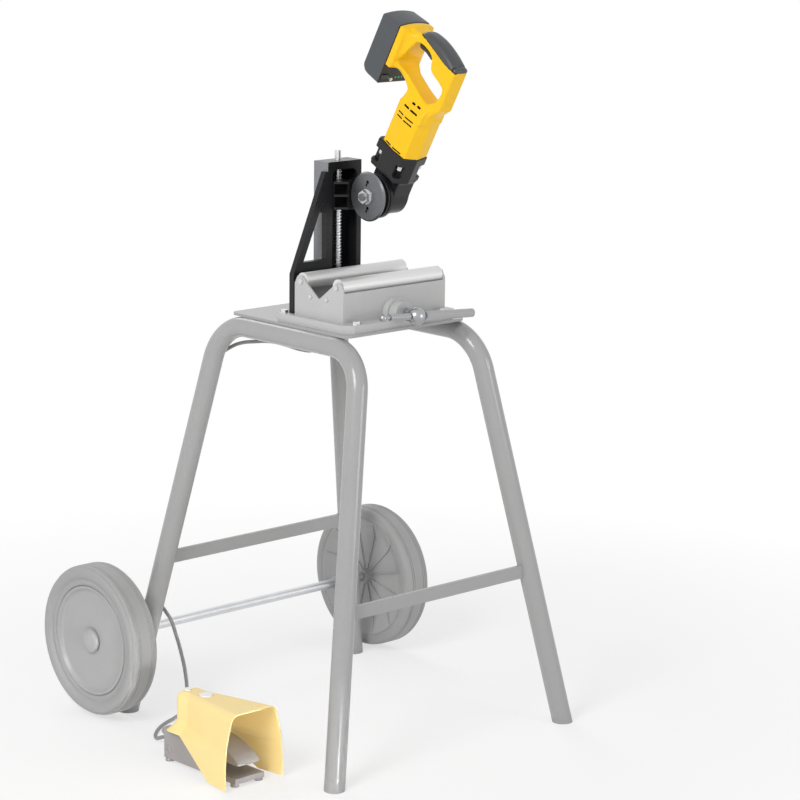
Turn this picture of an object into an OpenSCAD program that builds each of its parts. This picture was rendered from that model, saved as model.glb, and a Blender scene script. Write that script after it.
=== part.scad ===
// Cordless electric pipe cutter on a wheeled stand, with roller bed, feed lever and foot switch.
// Frame: X along the pipe, the operator stands at -Y, Z up.
// The origin lies on the floor at the centre of the four feet. Millimetres.

/* [Stand] */
// Half the spread of the feet along the pipe
foot_spread_x = 290; // [260:1:320]
// Half the spread of the feet across the pipe
foot_spread_y = 296; // [270:1:320]
// Half the distance between the two top rails
rail_x = 144; // [136:1:150]
// Half the width of a bent tube at its top corners, before bending
rail_y = 191; // [180:1:205]
// Height of the centre of the top rails
rail_z = 753; // [700:1:800]
// Outer diameter of the leg tube
leg_d = 38; // [32:1:42]
// Wall of the leg tube
leg_wall = 2; // [1.5:0.1:3]
// Centreline radius of the tube bends
bend_r = 80; // [65:1:95]
// Height of the flat braces
brace_z = 300; // [240:1:360]
// Depth of a brace bar
brace_h = 25; // [18:1:35]
// Thickness of a brace bar
brace_t = 6; // [4:0.5:10]
// Length of a foot cap under the tube end
cap_h = 14; // [12:1:24]
// Length of a foot cap's plug inside the tube
cap_plug = 22; // [15:1:30]

/* [Stand wheels] */
// Outer diameter of a stand wheel
wheel_d = 287; // [250:1:296]
// Width of a stand wheel
wheel_w = 60; // [50:1:64]
// Distance of a wheel's mid-plane outside the feet
wheel_out = 58; // [54:1:80]
// Diameter of the rim that carries the tyre
rim_d = 210; // [190:1:225]
// Diameter of the wheel axle
axle_d = 18; // [14:1:20]
// Height of the axle
axle_z = 152; // [150:1:175]
// Number of ribs inside a rim
rim_ribs = 12; // [6:1:16]

/* [Table] */
// Half length of the table plate along the pipe
table_x = 148; // [142:1:156]
// Half width of the table plate across the pipe
table_y = 161; // [158:1:175]
// Thickness of the table plate
table_t = 5; // [4:0.5:8]
// Corner radius of the table plate
table_corner = 14; // [6:1:24]

/* [Roller bed] */
// Distance of the pipe axis in front of the centre of the stand
pipe_offset = 61; // [58:1:66]
// Diameter of the pipe that the cutter is set to
pipe_d = 108; // [90:1:115]
// Half length of the bed housing
bed_half_x = 126; // [115:1:132]
// Half width of the bed housing
bed_half_y = 66; // [64:1:70]
// Height of the long bed walls
bed_wall_h = 54; // [50:1:54]
// Height of the end plates at their ears
bed_ear_h = 72; // [70:1:76]
// Sheet thickness of the bed housing
bed_sheet = 3; // [2:0.5:3.5]
// Height of the bottom of the notch in the end plates
notch_h = 37; // [32:1:42]
// Half length of the bed's base plate
bed_plate_x = 140; // [136:1:142]
// Thickness of the bed's base plate
bed_plate_t = 15; // [12:1:20]
// Reach of the base plate in front of the bed housing
bed_plate_lip = 27; // [24:1:30]
// Diameter of a support roller
roller_d = 30; // [26:1:30]
// Distance of a roller's axis from the plane of the pipe
roller_spread = 48; // [46:1:48]
// Height of the roller axes above the base plate
roller_h = 63; // [62:1:66]
// Diameter of a roller pin
pin_d = 10; // [8:1:12]

/* [Feed lever] */
// Diameter of the feed shaft
feed_d = 16; // [12:1:18]
// Height of the feed shaft's axis above the base plate
feed_h = 9; // [9:0.5:11]
// Diameter of the ball hub
hub_d = 33; // [30:1:38]
// Distance of the ball hub in front of the bed housing
hub_reach = 61; // [56:1:75]
// Diameter of the lever rod
bar_d = 8; // [6:1:10]
// Length of the lever on the knob side
bar_short = 82; // [70:1:95]
// Length of the lever on the grip side
bar_long = 143; // [125:1:145]
// Diameter of the lever grip
grip_d = 16; // [13:1:20]
// Tilt of the lever at rest
bar_tilt = 4; // [0:1:20]

/* [Upright] */
// Place of the upright along the pipe
column_x = -3; // [-6:1:2]
// Width of the upright
column_w = 82; // [80:1:90]
// Depth of the upright
column_d = 39; // [38:1:44]
// Wall of the upright
column_wall = 6; // [5:0.5:6.5]
// Gap between bed housing and upright
column_gap = 3; // [2:0.5:5]
// Height of the upright above the cutter axis
column_rise = 58; // [55:1:66]
// Width of the window in the upright
window_w = 60; // [58:1:64]
// Reach of the side gusset beside the upright
gusset_reach = 82; // [70:1:90]
// Thickness of the side gusset
gusset_t = 12; // [8:1:14]
// Thread diameter of the spindle
spindle_d = 16; // [14:1:18]
// Lead of the spindle thread
spindle_lead = 6; // [5:0.5:8]
// Diameter of the spindle journals
journal_d = 12; // [9:1:12]
// Height of the carriage arm
arm_h = 51; // [48:1:54]

/* [Cutting head] */
// Diameter of the cutter wheel
cutter_d = 91; // [86:1:96]
// Thickness of the cutter wheel
cutter_t = 7; // [5:0.5:8]
// Place of the cutter wheel's front face along the pipe
cutter_x = -11; // [-13:0.5:-10]
// Diameter of the output shaft
output_d = 14; // [12:1:15]
// Diameter of the bearing flange behind the cutter wheel
flange_d = 82; // [76:1:84]
// Diameter of the gear case around the output shaft
case_d = 70; // [66:1:74]
// Width of the wheel nut across its corners
nut_d = 25; // [22:1:28]

/* [Drive unit] */
// Lean of the drive unit towards the operator
drive_lean = 29; // [20:1:32]
// Mid-plane of the drive unit along the pipe
drive_x = 35.5; // [34:0.5:37]
// Height of the gear case along the drive axis
case_h = 102; // [98:1:110]
// Half width of the motor barrel
barrel_half = 28; // [27:0.5:31]
// Length of the motor barrel
barrel_len = 84; // [80:1:92]
// Diameter of the motor can
motor_d = 48; // [42:1:49]
// Length of the motor can
motor_len = 64; // [58:1:66]
// Half thickness of the handle
handle_half = 17.5; // [16.5:0.5:20]
// How far the soft grip stands proud of the handle
grip_proud = 1; // [0.5:0.1:2]
// Travel of the trigger
trigger_travel = 5; // [3:0.5:5.5]

/* [Battery] */
// Width of the battery pack
battery_w = 75; // [73:1:84]
// Thickness of the battery pack
battery_t = 47; // [45:1:52]
// Length of the battery pack
battery_l = 127; // [124:1:132]
// Wall of the battery case
battery_wall = 2.5; // [1.5:0.1:3]
// Diameter of a battery cell
cell_d = 18.3; // [17:0.1:18.6]
// Length of a battery cell
cell_l = 65; // [60:1:68]

/* [Foot switch] */
// Place of the foot switch along the pipe
pedal_x = -382; // [-400:1:-375]
// Place of the front edge of the foot switch
pedal_front = -174; // [-180:1:-170]
// Half width of the foot switch base
pedal_half = 33; // [30:1:40]
// Length of the foot switch base
pedal_len = 202; // [195:1:215]
// Height of the hood
hood_h = 140; // [130:1:155]
// Half width of the hood's mouth at its top
hood_top_half = 50; // [46:1:56]
// Half width of the hood's mouth at its lower edge
hood_low_half = 68; // [62:1:74]
// Half width of the hood's back at its top
hood_back_half = 25; // [22:1:30]
// Wall of the hood
hood_t = 3; // [2:0.5:5]
// Diameter of the foot switch cable
cable_d = 7; // [6:0.5:8]

/* [Fits] */
// Radial play of a part that turns or slides on another
run_play = 0.08; // [0.05:0.01:0.1]
// Gap between fixed parts that fit into each other
seat_gap = 0.05; // [0.02:0.01:0.1]
// Gap between moving parts that only pass each other
pass_gap = 0.5; // [0.3:0.1:0.8]

/* [Hidden] */
$fn = 64;
eps = 0.01;
cut_reach = 400;

// Paint and finish colours
leg_paint = "#a9a9a9";
bright_zinc = "#dcdcdc";
rubber_grey = "#9c9c9c";
cast_black = "#2b2b2d";
shell_yellow = "#f7be14";
hood_yellow = "#f8dc90";
pack_grey = "#4a4d50";
bronze = "#b08d57";

// Stand geometry: each bent tube lies in a plane that tilts inwards
leg_in = foot_spread_x - rail_x;
leg_tilt = atan(leg_in / rail_z);
leg_plane_h = sqrt(leg_in * leg_in + rail_z * rail_z);
leg_lean = atan((foot_spread_y - rail_y) / leg_plane_h);
leg_len = (foot_spread_y - rail_y) / sin(leg_lean);
bend_turn = 90 - leg_lean;
bend_run = bend_r * tan(bend_turn / 2);
bend_thinning = 0.2;
axle_leg_x = foot_spread_x - leg_in * axle_z / rail_z;
axle_leg_y = foot_spread_y - (foot_spread_y - rail_y) * axle_z / rail_z;
axle_sleeve_l = 26;
axle_sleeve_d = axle_d + 10;
axle_y = axle_leg_y + leg_d / 2 + axle_sleeve_d / 2 - 0.8;
brace_leg_x = foot_spread_x - leg_in * brace_z / rail_z;
brace_leg_y = foot_spread_y - (foot_spread_y - rail_y) * brace_z / rail_z;
wheel_x = foot_spread_x + wheel_out;
hub_l = wheel_w + 4;
tyre_shoulder = 9;
tyre_lip = 3;
rim_w = wheel_w - 16;
rim_wall = 7;
rim_web = 5;
rim_hub_d = axle_d + 22;
dish_flare = 17;
dish_z = wheel_w / 2 - tyre_lip;
dish_gap = 2 * seat_gap;
rib_h = 12;
rim_web_z = rim_w / 2 - 9;
hub_out = rim_web_z + rim_web + 1;
axle_end = 9;
axle_half = wheel_x + hub_out + axle_end;
hub_cap_d = axle_d + 30;
hub_cap_edge = 4;
hub_cap_dome = 9;

// Heights that follow from the stand
table_z = rail_z + leg_d / 2;
plate_z = table_z + table_t;
bed_z = plate_z + bed_plate_t;
pipe_y = -pipe_offset;
bed_front = pipe_y - bed_half_y;
bed_back = pipe_y + bed_half_y;
plate_front = bed_front - bed_plate_lip;
column_y = bed_back + column_gap;
plate_back = column_y + 29;
tongue_back = column_y + column_d + 8;
plate_chamfer = 17;
roller_z = bed_z + roller_h;
pipe_rise = sqrt(pow((pipe_d + roller_d) / 2, 2) - pow(roller_spread, 2));
pipe_z = roller_z + pipe_rise;
head_z = pipe_z + pipe_d / 2 + cutter_d / 2;
feed_z = bed_z + feed_h;

// Upright, spindle and carriage
column_top = head_z + column_rise;
column_roof = 8;
spindle_y = column_y + column_d / 2;
bridge_z = feed_z + 26;
bridge_t = 12;
bush_d = journal_d + 8;
bevel_hub = 2;
bevel_r = column_d / 2 - column_wall - bevel_hub - 0.5;
bevel_core = 5.5;
bevel_play = 0.4;
bevel_teeth = 14;
bevel_bore = 5.5;
window_z = bridge_z + bridge_t + 20;
window_top = column_top - 15;
window_r = 12;
spindle_top = column_top + 18;
arm_z = head_z - 29;
arm_front = pipe_y + cutter_d / 2 + 2;
arm_back = column_y - 1;
arm_x0 = cutter_x - 1;
arm_x1 = drive_x + 20;
arm_rib = 4;
arm_pocket = 16;
arm_lip = 4;
arm_side = 3;
arm_pocket_depth = 6;
nut_od = spindle_d + 8;
guide_half = window_w / 2 - 1;
bar_insert = 30;
bar_sleeve_d = bar_d + 4.5;
bar_sleeve_end = 15;

// Head along the output shaft
cutter_back = cutter_x + cutter_t;
flange_x0 = cutter_back + 4;
flange_x1 = flange_x0 + 18;
case_x1 = drive_x + 24.5;
crown_r = 28;
pinion_r = 8;
crown_face = drive_x - pinion_r - bevel_play;
crown_t = 6;
bearing_w = 9;
front_bearing_d = 32;
front_bearing_x = flange_x0 + 5;
rear_bearing_d = 28;
rear_bearing_x = case_x1 - 3 - bearing_w;
nut_t = 11;
pad_half = 20;

// Drive unit, in its own leaning frame: v points to the operator, u points up along the motor
block_half = barrel_half + 3.5;
block_u0 = 49;
block_back = 44;
block_front = 36;
barrel_flat = 31;
barrel_ridge = 38;
barrel_bulge = 3;
barrel_u1 = case_h + barrel_len;
case_screw_x = 24;
case_screw_v = 27;
case_screw_head = case_h - 18;
notch_u0 = case_screw_head - 24;
motor_u0 = case_h + 2;
fan_u = motor_u0 + motor_len + 1.5;
motor_bearing_d = 22;
motor_bearing_t = 7;
front_motor_bearing = case_h - 10;
rear_motor_bearing = fan_u + 8;
armature_d = 40;
armature_shaft_d = 8;
shell_wall = 3;
handle_pts = [[-74.5, 124.5], [-74.5, 42.5], [-46, 32], [-33, 22], [-30, 4], [-30, -12], [34, -12], [37, 6],
    [54, 32], [54, 110], [46, 118], [22, 127], [-10, 132], [-40, 130], [-56, 127.5]];
hand_hole_pts = [[-64.5, 54], [-64.5, 76], [-55, 104], [-50, 111], [-36, 113], [-18, 110.5], [-7.5, 103.5],
    [-4, 93], [5, 82], [40, 72], [40, 49], [30, 36], [12, 30]];
soft_grip_pts = [[-54, 123.5], [-31, 119], [-3, 112], [24, 107.5], [40, 107], [54.5, 110], [57, 116],
    [52, 122], [44, 124], [20, 134], [-12, 138], [-40, 135], [-53, 131]];
soft_grip_t = 5;
trigger_pts = [[-50, 105], [-46, 101.5], [-30, 102], [-13, 98], [-9.5, 100], [-9.5, 109], [-50, 109]];
trigger_half = 12;
trigger_u1 = 109;
switch_v = [-42, 0];
switch_u = [trigger_u1 + trigger_travel + 2, trigger_u1 + trigger_travel + 11];
arm_pocket_pts = [[44, 40], [50, 40], [50, 100], [44, 100]];
screw_bosses = [[-48, 39], [46, 30], [48, 104]];
shell_screw_d = 4;

// Battery shoe and pack, in the handle's frame
shoe_v0 = -88.5;
shoe_t = 14;
shoe_half = battery_w / 2 - 1;
shoe_u0 = 42.5;
shoe_u1 = 127;
crown_drop = 5;
pack_edge = 4;
pack_bevel = 9;
rail_stem = 26;
rail_head = 32;
rail_t = 3;
rail_len = 66;
pack_u0 = shoe_u1 - battery_l;
pack_v1 = shoe_v0 - 0.3;
pack_v0 = pack_v1 - battery_t;
cell_rows = 2;
cells_per_row = 6;
cell_pitch = cell_d + 0.7;
gauge_x = -5.5;
gauge_u = pack_u0 + 7;
gauge_d = 7;
latch_w = 16;
latch_x = -24;
latch_h = 8;
latch_u = pack_u0 + 14;

// Foot switch
pedal_foot_h = 6;
pedal_floor_t = 10;
pedal_tower_h = 62;
pedal_tower_len = 78;
pedal_back = pedal_front + pedal_len;
pedal_pin_y = pedal_back - pedal_tower_len - 12;
pedal_pin_z = 50;
pedal_pin_d = 8;
pedal_cheek = 7;
pedal_half_in = pedal_half - pedal_cheek - pass_gap;
hood_front = pedal_front - 12;
hood_back = pedal_back - 18;
hood_back_flare = 37;
hood_back_drop = 5;
hood_skirt = 4;
hood_holes = [[-3, -14, 15], [0, -62, 27]];
skirt_bend = pedal_back - pedal_tower_len + 4;
skirt_front = hood_front + 46;
gland_len = 27;
gland_base_d = cable_d + 9;
gland_tip_d = cable_d + 3;
gland_x = pedal_x + 10;
gland_z = 24;
table_gland = [-70, -8];
clip_s = [235, 470, leg_len - bend_run - 49];
clip_l = 12;
clip_turn = 50;
clip_wall = 2.5;
clip_base = 2;

// Route of the foot switch cable from the pedal to the underside of the table
cable_route = [
    [-372, 55, 24], [-372, 72, 23], [-371, 90, 17], [-365, 112, 8], [-352, 134, 4], [-332, 154, 4],
    [-308, 171, 4], [-284, 183, 4], [-262, 190, 5], [-243, 194, 11], [-229, 198, 26], [-221, 204, 50],
    [-217, 214, 82], [-216.5, 226, 115], [-218, 239, 147], [-221.5, 251.5, 177], [-225.5, 264.5, 193.5],
    [-228.3, 278, 208], [-231.2, 283.4, 221.5], [-228.6, 281.9, 234], [-222.6, 277.6, 265], [-213.6, 271.1, 312], [-198.9, 260.6, 388],
    [-184.3, 250.1, 462.5], [-167.2, 237.8, 551], [-149.4, 225, 642.4], [-141.5, 218, 668], [-132, 205, 690],
    [-126, 186, 704], [-122, 160, 715], [-115, 130, 721],
    [-106, 96, 725], [-96, 62, 722], [-86, 32, 717], [-77, 9, 718], [-71, -5, 729], [-70, -8, 745]
];
cable_sides = 10;
cable_steps = 2;

// Places a child in the leaning frame of the drive unit
module in_drive() {
    translate([0, pipe_y, head_z]) rotate([drive_lean, 0, 0]) children();
}

// Places a child in the frame of the handle, at the upper end of the motor barrel
module in_handle() {
    in_drive() translate([drive_x, 0, barrel_u1]) children();
}

// A plate with an outline of [v, u] points between two planes across the pipe
module side_plate(pts, x0, x1) {
    translate([x0, 0, 0]) rotate([90, 0, 90]) linear_extrude(x1 - x0)
        polygon([for (p = pts) [-p[0], p[1]]]);
}

// A plate with an outline of [x, z] points between two planes along the pipe
module front_plate(pts, y0, y1) {
    translate([0, y1, 0]) rotate([90, 0, 0]) linear_extrude(y1 - y0) polygon(pts);
}

// A block between two corners
module block(low, high) {
    translate(low) cube(high - low);
}

// A cylinder along X between two planes
module x_rod(d, x0, x1) {
    translate([x0, 0, 0]) rotate([0, 90, 0]) cylinder(d = d, h = x1 - x0);
}

// A cylinder along Y between two planes
module y_rod(d, y0, y1) {
    translate([0, y1, 0]) rotate([90, 0, 0]) cylinder(d = d, h = y1 - y0);
}

// A hexagon-headed bolt along Z with its shank down from the origin
module hex_bolt(d, shank) {
    cylinder(d = d * 1.9, h = d * 0.65, $fn = 6);
    translate([0, 0, -shank]) cylinder(d = d, h = shank + eps);
}

// Frame of one leg, with Z along the tube from its foot on the floor
module on_leg(side_x, side_y) {
    translate([side_x * foot_spread_x, 0, 0]) rotate([0, -side_x * leg_tilt, 0])
        translate([0, side_y * foot_spread_y, 0]) rotate([side_y * leg_lean, 0, 0]) children();
}

// Section of the leg tube, thinner by a little where the tube is stretched in a bend
module tube_section(thinning) {
    difference() {
        circle(d = leg_d - thinning);
        circle(d = leg_d - 2 * leg_wall + thinning);
    }
}

// Leg and bend of one half of a bent tube
module half_tube() {
    translate([0, foot_spread_y, 0]) rotate([leg_lean, 0, 0])
        translate([0, 0, cap_h]) linear_extrude(leg_len - bend_run - cap_h) tube_section(0);
    translate([0, rail_y - bend_run, leg_plane_h - bend_r]) rotate([90, 0, 90]) rotate([0, 0, leg_lean])
        rotate_extrude(angle = bend_turn) translate([bend_r, 0]) tube_section(bend_thinning);
}

// A bent tube with the welded sleeve that carries the axle
module stand_frame(side) {
    color(leg_paint) {
        translate([side * foot_spread_x, 0, 0]) rotate([0, -side * leg_tilt, 0]) {
            half_tube();
            mirror([0, 1, 0]) half_tube();
            translate([0, bend_run - rail_y, leg_plane_h]) rotate([-90, 0, 0])
                linear_extrude(2 * (rail_y - bend_run)) tube_section(0);
        }
        translate([side * axle_leg_x - axle_sleeve_l / 2, axle_y, axle_z]) rotate([0, 90, 0])
            ring(axle_sleeve_d, axle_d + 2 * seat_gap, axle_sleeve_l);
    }
}

module stand_frame_left() {
    stand_frame(-1);
}

module stand_frame_right() {
    stand_frame(1);
}

// Two flat bars that tie the bent tubes together, with hollowed ends on the tubes
module braces() {
    color(leg_paint) for (side = [-1, 1]) difference() {
        translate([-brace_leg_x, side * brace_leg_y - brace_t / 2, brace_z - brace_h / 2])
            cube([2 * brace_leg_x, brace_t, brace_h]);
        for (end = [-1, 1]) on_leg(end, side) cylinder(d = leg_d + 2 * seat_gap, h = leg_len);
    }
}

// Plugs that close the tube ends and stand flat on the floor
module foot_caps() {
    plug_d = leg_d - 2 * leg_wall - 2 * seat_gap;
    color(rubber_grey) for (side_x = [-1, 1], side_y = [-1, 1]) intersection() {
        on_leg(side_x, side_y) {
            translate([0, 0, -leg_d]) cylinder(d = leg_d, h = leg_d + cap_h - seat_gap);
            cylinder(d = plug_d, h = cap_h + cap_plug);
        }
        translate([side_x * foot_spread_x, side_y * foot_spread_y, leg_d])
            cube([3 * leg_d, 3 * leg_d, 2 * leg_d], center = true);
    }
}

module table_plate() {
    color(leg_paint) translate([0, 0, table_z]) difference() {
        linear_extrude(table_t) union() {
            square([2 * (table_x - table_corner), 2 * table_y], center = true);
            square([2 * table_x, 2 * (table_y - table_corner)], center = true);
            for (side_x = [-1, 1], side_y = [-1, 1])
                translate([side_x * (table_x - table_corner), side_y * (table_y - table_corner)])
                    circle(r = table_corner);
        }
        for (at = bed_bolt_places) translate([at[0], at[1], -1]) cylinder(d = bed_bolt_d + 0.2, h = table_t + 2);
    }
}

module wheel_axle() {
    color(bright_zinc) translate([0, axle_y, axle_z]) x_rod(axle_d, -axle_half, axle_half);
}

// Domed push-on caps that keep the wheels on the axle
module hub_caps() {
    color(leg_paint) for (side = [-1, 1])
        translate([side * (wheel_x + hub_out + pass_gap), axle_y, axle_z])
            rotate([0, side * 90, 0]) difference() {
                rotate_extrude() polygon(concat([[0, 0], [hub_cap_d / 2, 0], [hub_cap_d / 2, hub_cap_edge]],
                    [for (a = [15:15:75]) [hub_cap_d / 2 * cos(a), hub_cap_edge + hub_cap_dome * sin(a)]],
                    [[0, hub_cap_edge + hub_cap_dome]]));
                translate([0, 0, -1]) cylinder(d = axle_d + 2 * seat_gap, h = axle_end + 1);
            }
}

// Half section of a tyre as [radius, across] points, with rounded shoulders and a flared inner seat
function tyre_section() = concat(
    [[rim_d / 2 + dish_gap, 0], [rim_d / 2 + dish_flare + dish_gap, -dish_z],
        [rim_d / 2 + dish_flare + tyre_lip, -wheel_w / 2]],
    [for (a = [-90:15:0]) [wheel_d / 2 - tyre_shoulder * (1 - cos(a)),
        -wheel_w / 2 + tyre_shoulder + tyre_shoulder * sin(a)]],
    [for (a = [0:15:90]) [wheel_d / 2 - tyre_shoulder * (1 - cos(a)),
        wheel_w / 2 - tyre_shoulder + tyre_shoulder * sin(a)]],
    [[rim_d / 2 + dish_flare, wheel_w / 2], [rim_d / 2 + tyre_lip, rim_w / 2 + tyre_lip],
        [rim_d / 2 + dish_gap, rim_w / 2]]);

module tyre(side) {
    color(rubber_grey) translate([side * wheel_x, axle_y, axle_z]) rotate([0, side * 90, 0])
        rotate_extrude() polygon(tyre_section());
}

module tyre_left() {
    tyre(-1);
}

module tyre_right() {
    tyre(1);
}

// A rim with a closed outer disc, and low ribs in the flared dish on its inner side
module rim(side) {
    rib_from = rim_hub_d / 2 - 1;
    rib_to = rim_d / 2 - rim_wall + 1;
    color(leg_paint) translate([side * wheel_x, axle_y, axle_z]) rotate([0, side * 90, 0]) difference() {
        union() {
            rotate_extrude() polygon([[0, -hub_l / 2], [rim_hub_d / 2, -hub_l / 2], [rim_hub_d / 2, rim_web_z],
                [rim_d / 2 - rim_wall, rim_web_z], [rim_d / 2 - rim_wall + dish_flare, -dish_z],
                [rim_d / 2 + dish_flare, -dish_z], [rim_d / 2, 0],
                [rim_d / 2, rim_w / 2], [rim_d / 2 - rim_wall - 4, rim_w / 2 + 2],
                [rim_d / 2 - rim_wall - 12, rim_web_z + rim_web], [rim_hub_d / 2, rim_web_z + rim_web],
                [rim_hub_d / 2 - 1, hub_out], [0, hub_out]]);
            for (i = [0:rim_ribs - 1]) rotate([0, 0, i * 360 / rim_ribs])
                translate([rib_from, -1.5, rim_web_z - rib_h]) cube([rib_to - rib_from, 3, rib_h + 1]);
        }
        translate([0, 0, -hub_l]) cylinder(d = axle_d + 2 * run_play, h = 2 * hub_l);
    }
}

module rim_left() {
    rim(-1);
}

module rim_right() {
    rim(1);
}

// Places of the bolts that hold the bed to the table, as [x, y]
bed_bolt_d = 8;
bed_bolt_places = [for (side = [-1, 1]) each [[side * 108, plate_front + 13], [side * 130, plate_back - 8]]];
tongue_x = [column_x - column_w / 2 - 14, column_x + column_w / 2 + 14];

module bed_plate() {
    color(leg_paint) difference() {
        union() {
            translate([0, 0, plate_z]) linear_extrude(bed_plate_t) polygon([[-bed_plate_x, plate_back],
                [bed_plate_x, plate_back], [bed_plate_x, plate_front + plate_chamfer],
                [bed_plate_x - plate_chamfer, plate_front], [plate_chamfer - bed_plate_x, plate_front],
                [-bed_plate_x, plate_front + plate_chamfer]]);
            block([tongue_x[0], plate_back - 1, plate_z], [tongue_x[1], tongue_back, bed_z]);
        }
        block([column_x - bevel_r - 3, column_y - 1, feed_z - bevel_r - 2],
            [column_x + bevel_r + 3, spindle_y + bevel_r, bed_z + 1]);
        for (at = bed_bolt_places) translate([at[0], at[1], plate_z - 1])
            cylinder(d = bed_bolt_d + 0.2, h = bed_plate_t + 2);
    }
}

// Outline of an end plate as [v, height] points, with the pipe notch between its two ears
notch_angle = 37.6;
notch_r = 7;
notch_half = notch_r * sin(notch_angle)
    + (bed_ear_h - notch_h - notch_r * (1 - cos(notch_angle))) / tan(notch_angle);
notch_arc = [for (i = [2:-1:-2]) let (a = i * notch_angle / 2)
    [notch_r * sin(a), notch_h + notch_r * (1 - cos(a))]];
end_plate_pts = concat([[-bed_half_y, 0], [bed_half_y, 0], [bed_half_y, bed_wall_h + 4],
    [bed_half_y - 8, bed_ear_h], [notch_half, bed_ear_h]], notch_arc,
    [[-notch_half, bed_ear_h], [-bed_half_y + 8, bed_ear_h], [-bed_half_y, bed_wall_h + 4]]);

// Folded sheet box that carries the rollers
module bed_housing() {
    color(leg_paint) translate([0, pipe_y, bed_z]) difference() {
        union() {
            for (side = [-1, 1]) {
                side_plate(end_plate_pts, side < 0 ? -bed_half_x : bed_half_x - bed_sheet,
                    side < 0 ? -bed_half_x + bed_sheet : bed_half_x);
                translate([-bed_half_x, side < 0 ? -bed_half_y : bed_half_y - bed_sheet, 0])
                    cube([2 * bed_half_x, bed_sheet, bed_wall_h]);
            }
            for (end = [-1, 1]) translate([end < 0 ? -bed_half_x : bed_half_x - 22, -bed_half_y + 1, 0])
                cube([22, 2 * bed_half_y - 2, bed_sheet]);
        }
        for (side = [-1, 1]) translate([0, side * roller_spread, roller_h])
            x_rod(pin_d + 2 * seat_gap, -bed_half_x - 1, bed_half_x + 1);
        translate([column_x, 0, feed_h]) y_rod(feed_d + 2 * pass_gap, -bed_half_y - 1, bed_half_y + 1);
        for (end = [-1, 1], side = [-1, 1]) translate([end * bed_half_x, side * bed_screw_y, bed_screw_h])
            x_rod(bed_screw_d + 2 * seat_gap, -bed_sheet - 1, bed_sheet + 1);
    }
}

bed_screw_d = 5;
bed_screw_h = 38;
bed_screw_y = 22;
bed_screw_l = 12;

// Screws with square washers' bright heads in the end plates
module bed_screws() {
    color(bright_zinc) for (end = [-1, 1], side = [-1, 1])
        translate([end * bed_half_x, pipe_y + side * bed_screw_y, bed_z + bed_screw_h]) rotate([0, end * 90, 0]) {
            cylinder(d = bed_screw_d * 2, h = 2.5, $fn = 4);
            translate([0, 0, -bed_screw_l]) cylinder(d = bed_screw_d, h = bed_screw_l + eps);
        }
}

module roller(side) {
    roller_l = 2 * (bed_half_x - bed_sheet - 1);
    color(bright_zinc) translate([0, pipe_y + side * roller_spread, roller_z]) difference() {
        x_rod(roller_d, -roller_l / 2, roller_l / 2);
        x_rod(pin_d + 2 * run_play, -roller_l, roller_l);
    }
}

module front_roller() {
    roller(-1);
}

module rear_roller() {
    roller(1);
}

module roller_pins() {
    color(bright_zinc) for (side = [-1, 1]) translate([0, pipe_y + side * roller_spread, roller_z])
        x_rod(pin_d, -bed_half_x - 3, bed_half_x + 3);
}

// Stepped boss with the bush for the feed shaft
module feed_bearing() {
    color(leg_paint) translate([column_x, bed_front, feed_z]) difference() {
        union() {
            intersection() {
                y_rod(54, -12, 0);
                block([-40, -20, -feed_h + seat_gap], [40, 1, 40]);
            }
            intersection() {
                y_rod(44, -30, -11);
                block([-40, -40, -feed_h + seat_gap], [40, 1, 40]);
            }
        }
        y_rod(feed_d + 2 * run_play, -40, 5);
    }
}

module feed_shaft() {
    shoulder = spindle_y - bevel_r - bevel_hub - seat_gap;
    color(bright_zinc) translate([column_x, 0, feed_z]) {
        y_rod(feed_d, bed_front - hub_reach + bar_d / 2 + 2 + seat_gap, shoulder);
        y_rod(bevel_bore - 2 * seat_gap, shoulder - 1, spindle_y - bevel_core);
    }
}

// A bevel gear on the Z axis with its cone's apex at the origin
module bevel(turn) {
    small = bevel_core - bevel_play;
    difference() {
        union() {
            translate([0, 0, bevel_core]) linear_extrude(bevel_r - bevel_core, scale = (bevel_r - bevel_play) / small)
                polygon([for (i = [0:4 * bevel_teeth - 1]) let (r = i % 4 < 2 ? small : 0.8 * small,
                    a = (i + turn) * 90 / bevel_teeth) [r * cos(a), r * sin(a)]]);
            translate([0, 0, bevel_r - eps]) cylinder(r = bevel_r - 2, h = bevel_hub + eps);
        }
        translate([0, 0, -1]) cylinder(d = bevel_bore, h = bevel_r + 8);
    }
}

module feed_bevel() {
    color(bright_zinc) translate([column_x, spindle_y, feed_z]) rotate([90, 0, 0]) bevel(2);
}

module spindle_bevel() {
    color(bright_zinc) translate([column_x, spindle_y, feed_z]) bevel(0);
}

// Frame of the lever, with X along its rod
module on_lever() {
    translate([column_x, bed_front - hub_reach, feed_z]) rotate([0, bar_tilt, 0]) children();
}

module feed_hub() {
    r = hub_d / 2;
    neck = feed_d / 2 + 4;
    bore = feed_d / 2 + seat_gap;
    seat = bar_d / 2 + 2;
    color(bright_zinc) difference() {
        translate([column_x, bed_front - hub_reach, feed_z]) rotate([-90, 0, 0]) rotate([0, 0, 90])
            rotate_extrude() difference() {
                union() {
                    intersection() {
                        circle(r = r);
                        translate([0, -hub_d]) square([hub_d, 2 * hub_d]);
                    }
                    square([neck, r + 8]);
                }
                translate([0, seat]) square([bore, hub_d]);
            }
        on_lever() x_rod(bar_d + 2 * seat_gap, -hub_d, hub_d);
    }
}

// Lever rod with a stout sleeve and an end ball on its short side
module feed_bar() {
    color(bright_zinc) on_lever() {
        x_rod(bar_d, -bar_short, hub_d / 2 + bar_insert);
        x_rod(bar_sleeve_d, bar_sleeve_end - bar_short, -hub_d / 2 - 2);
        translate([-bar_short, 0, 0]) sphere(d = bar_d * 1.7);
    }
}

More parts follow.
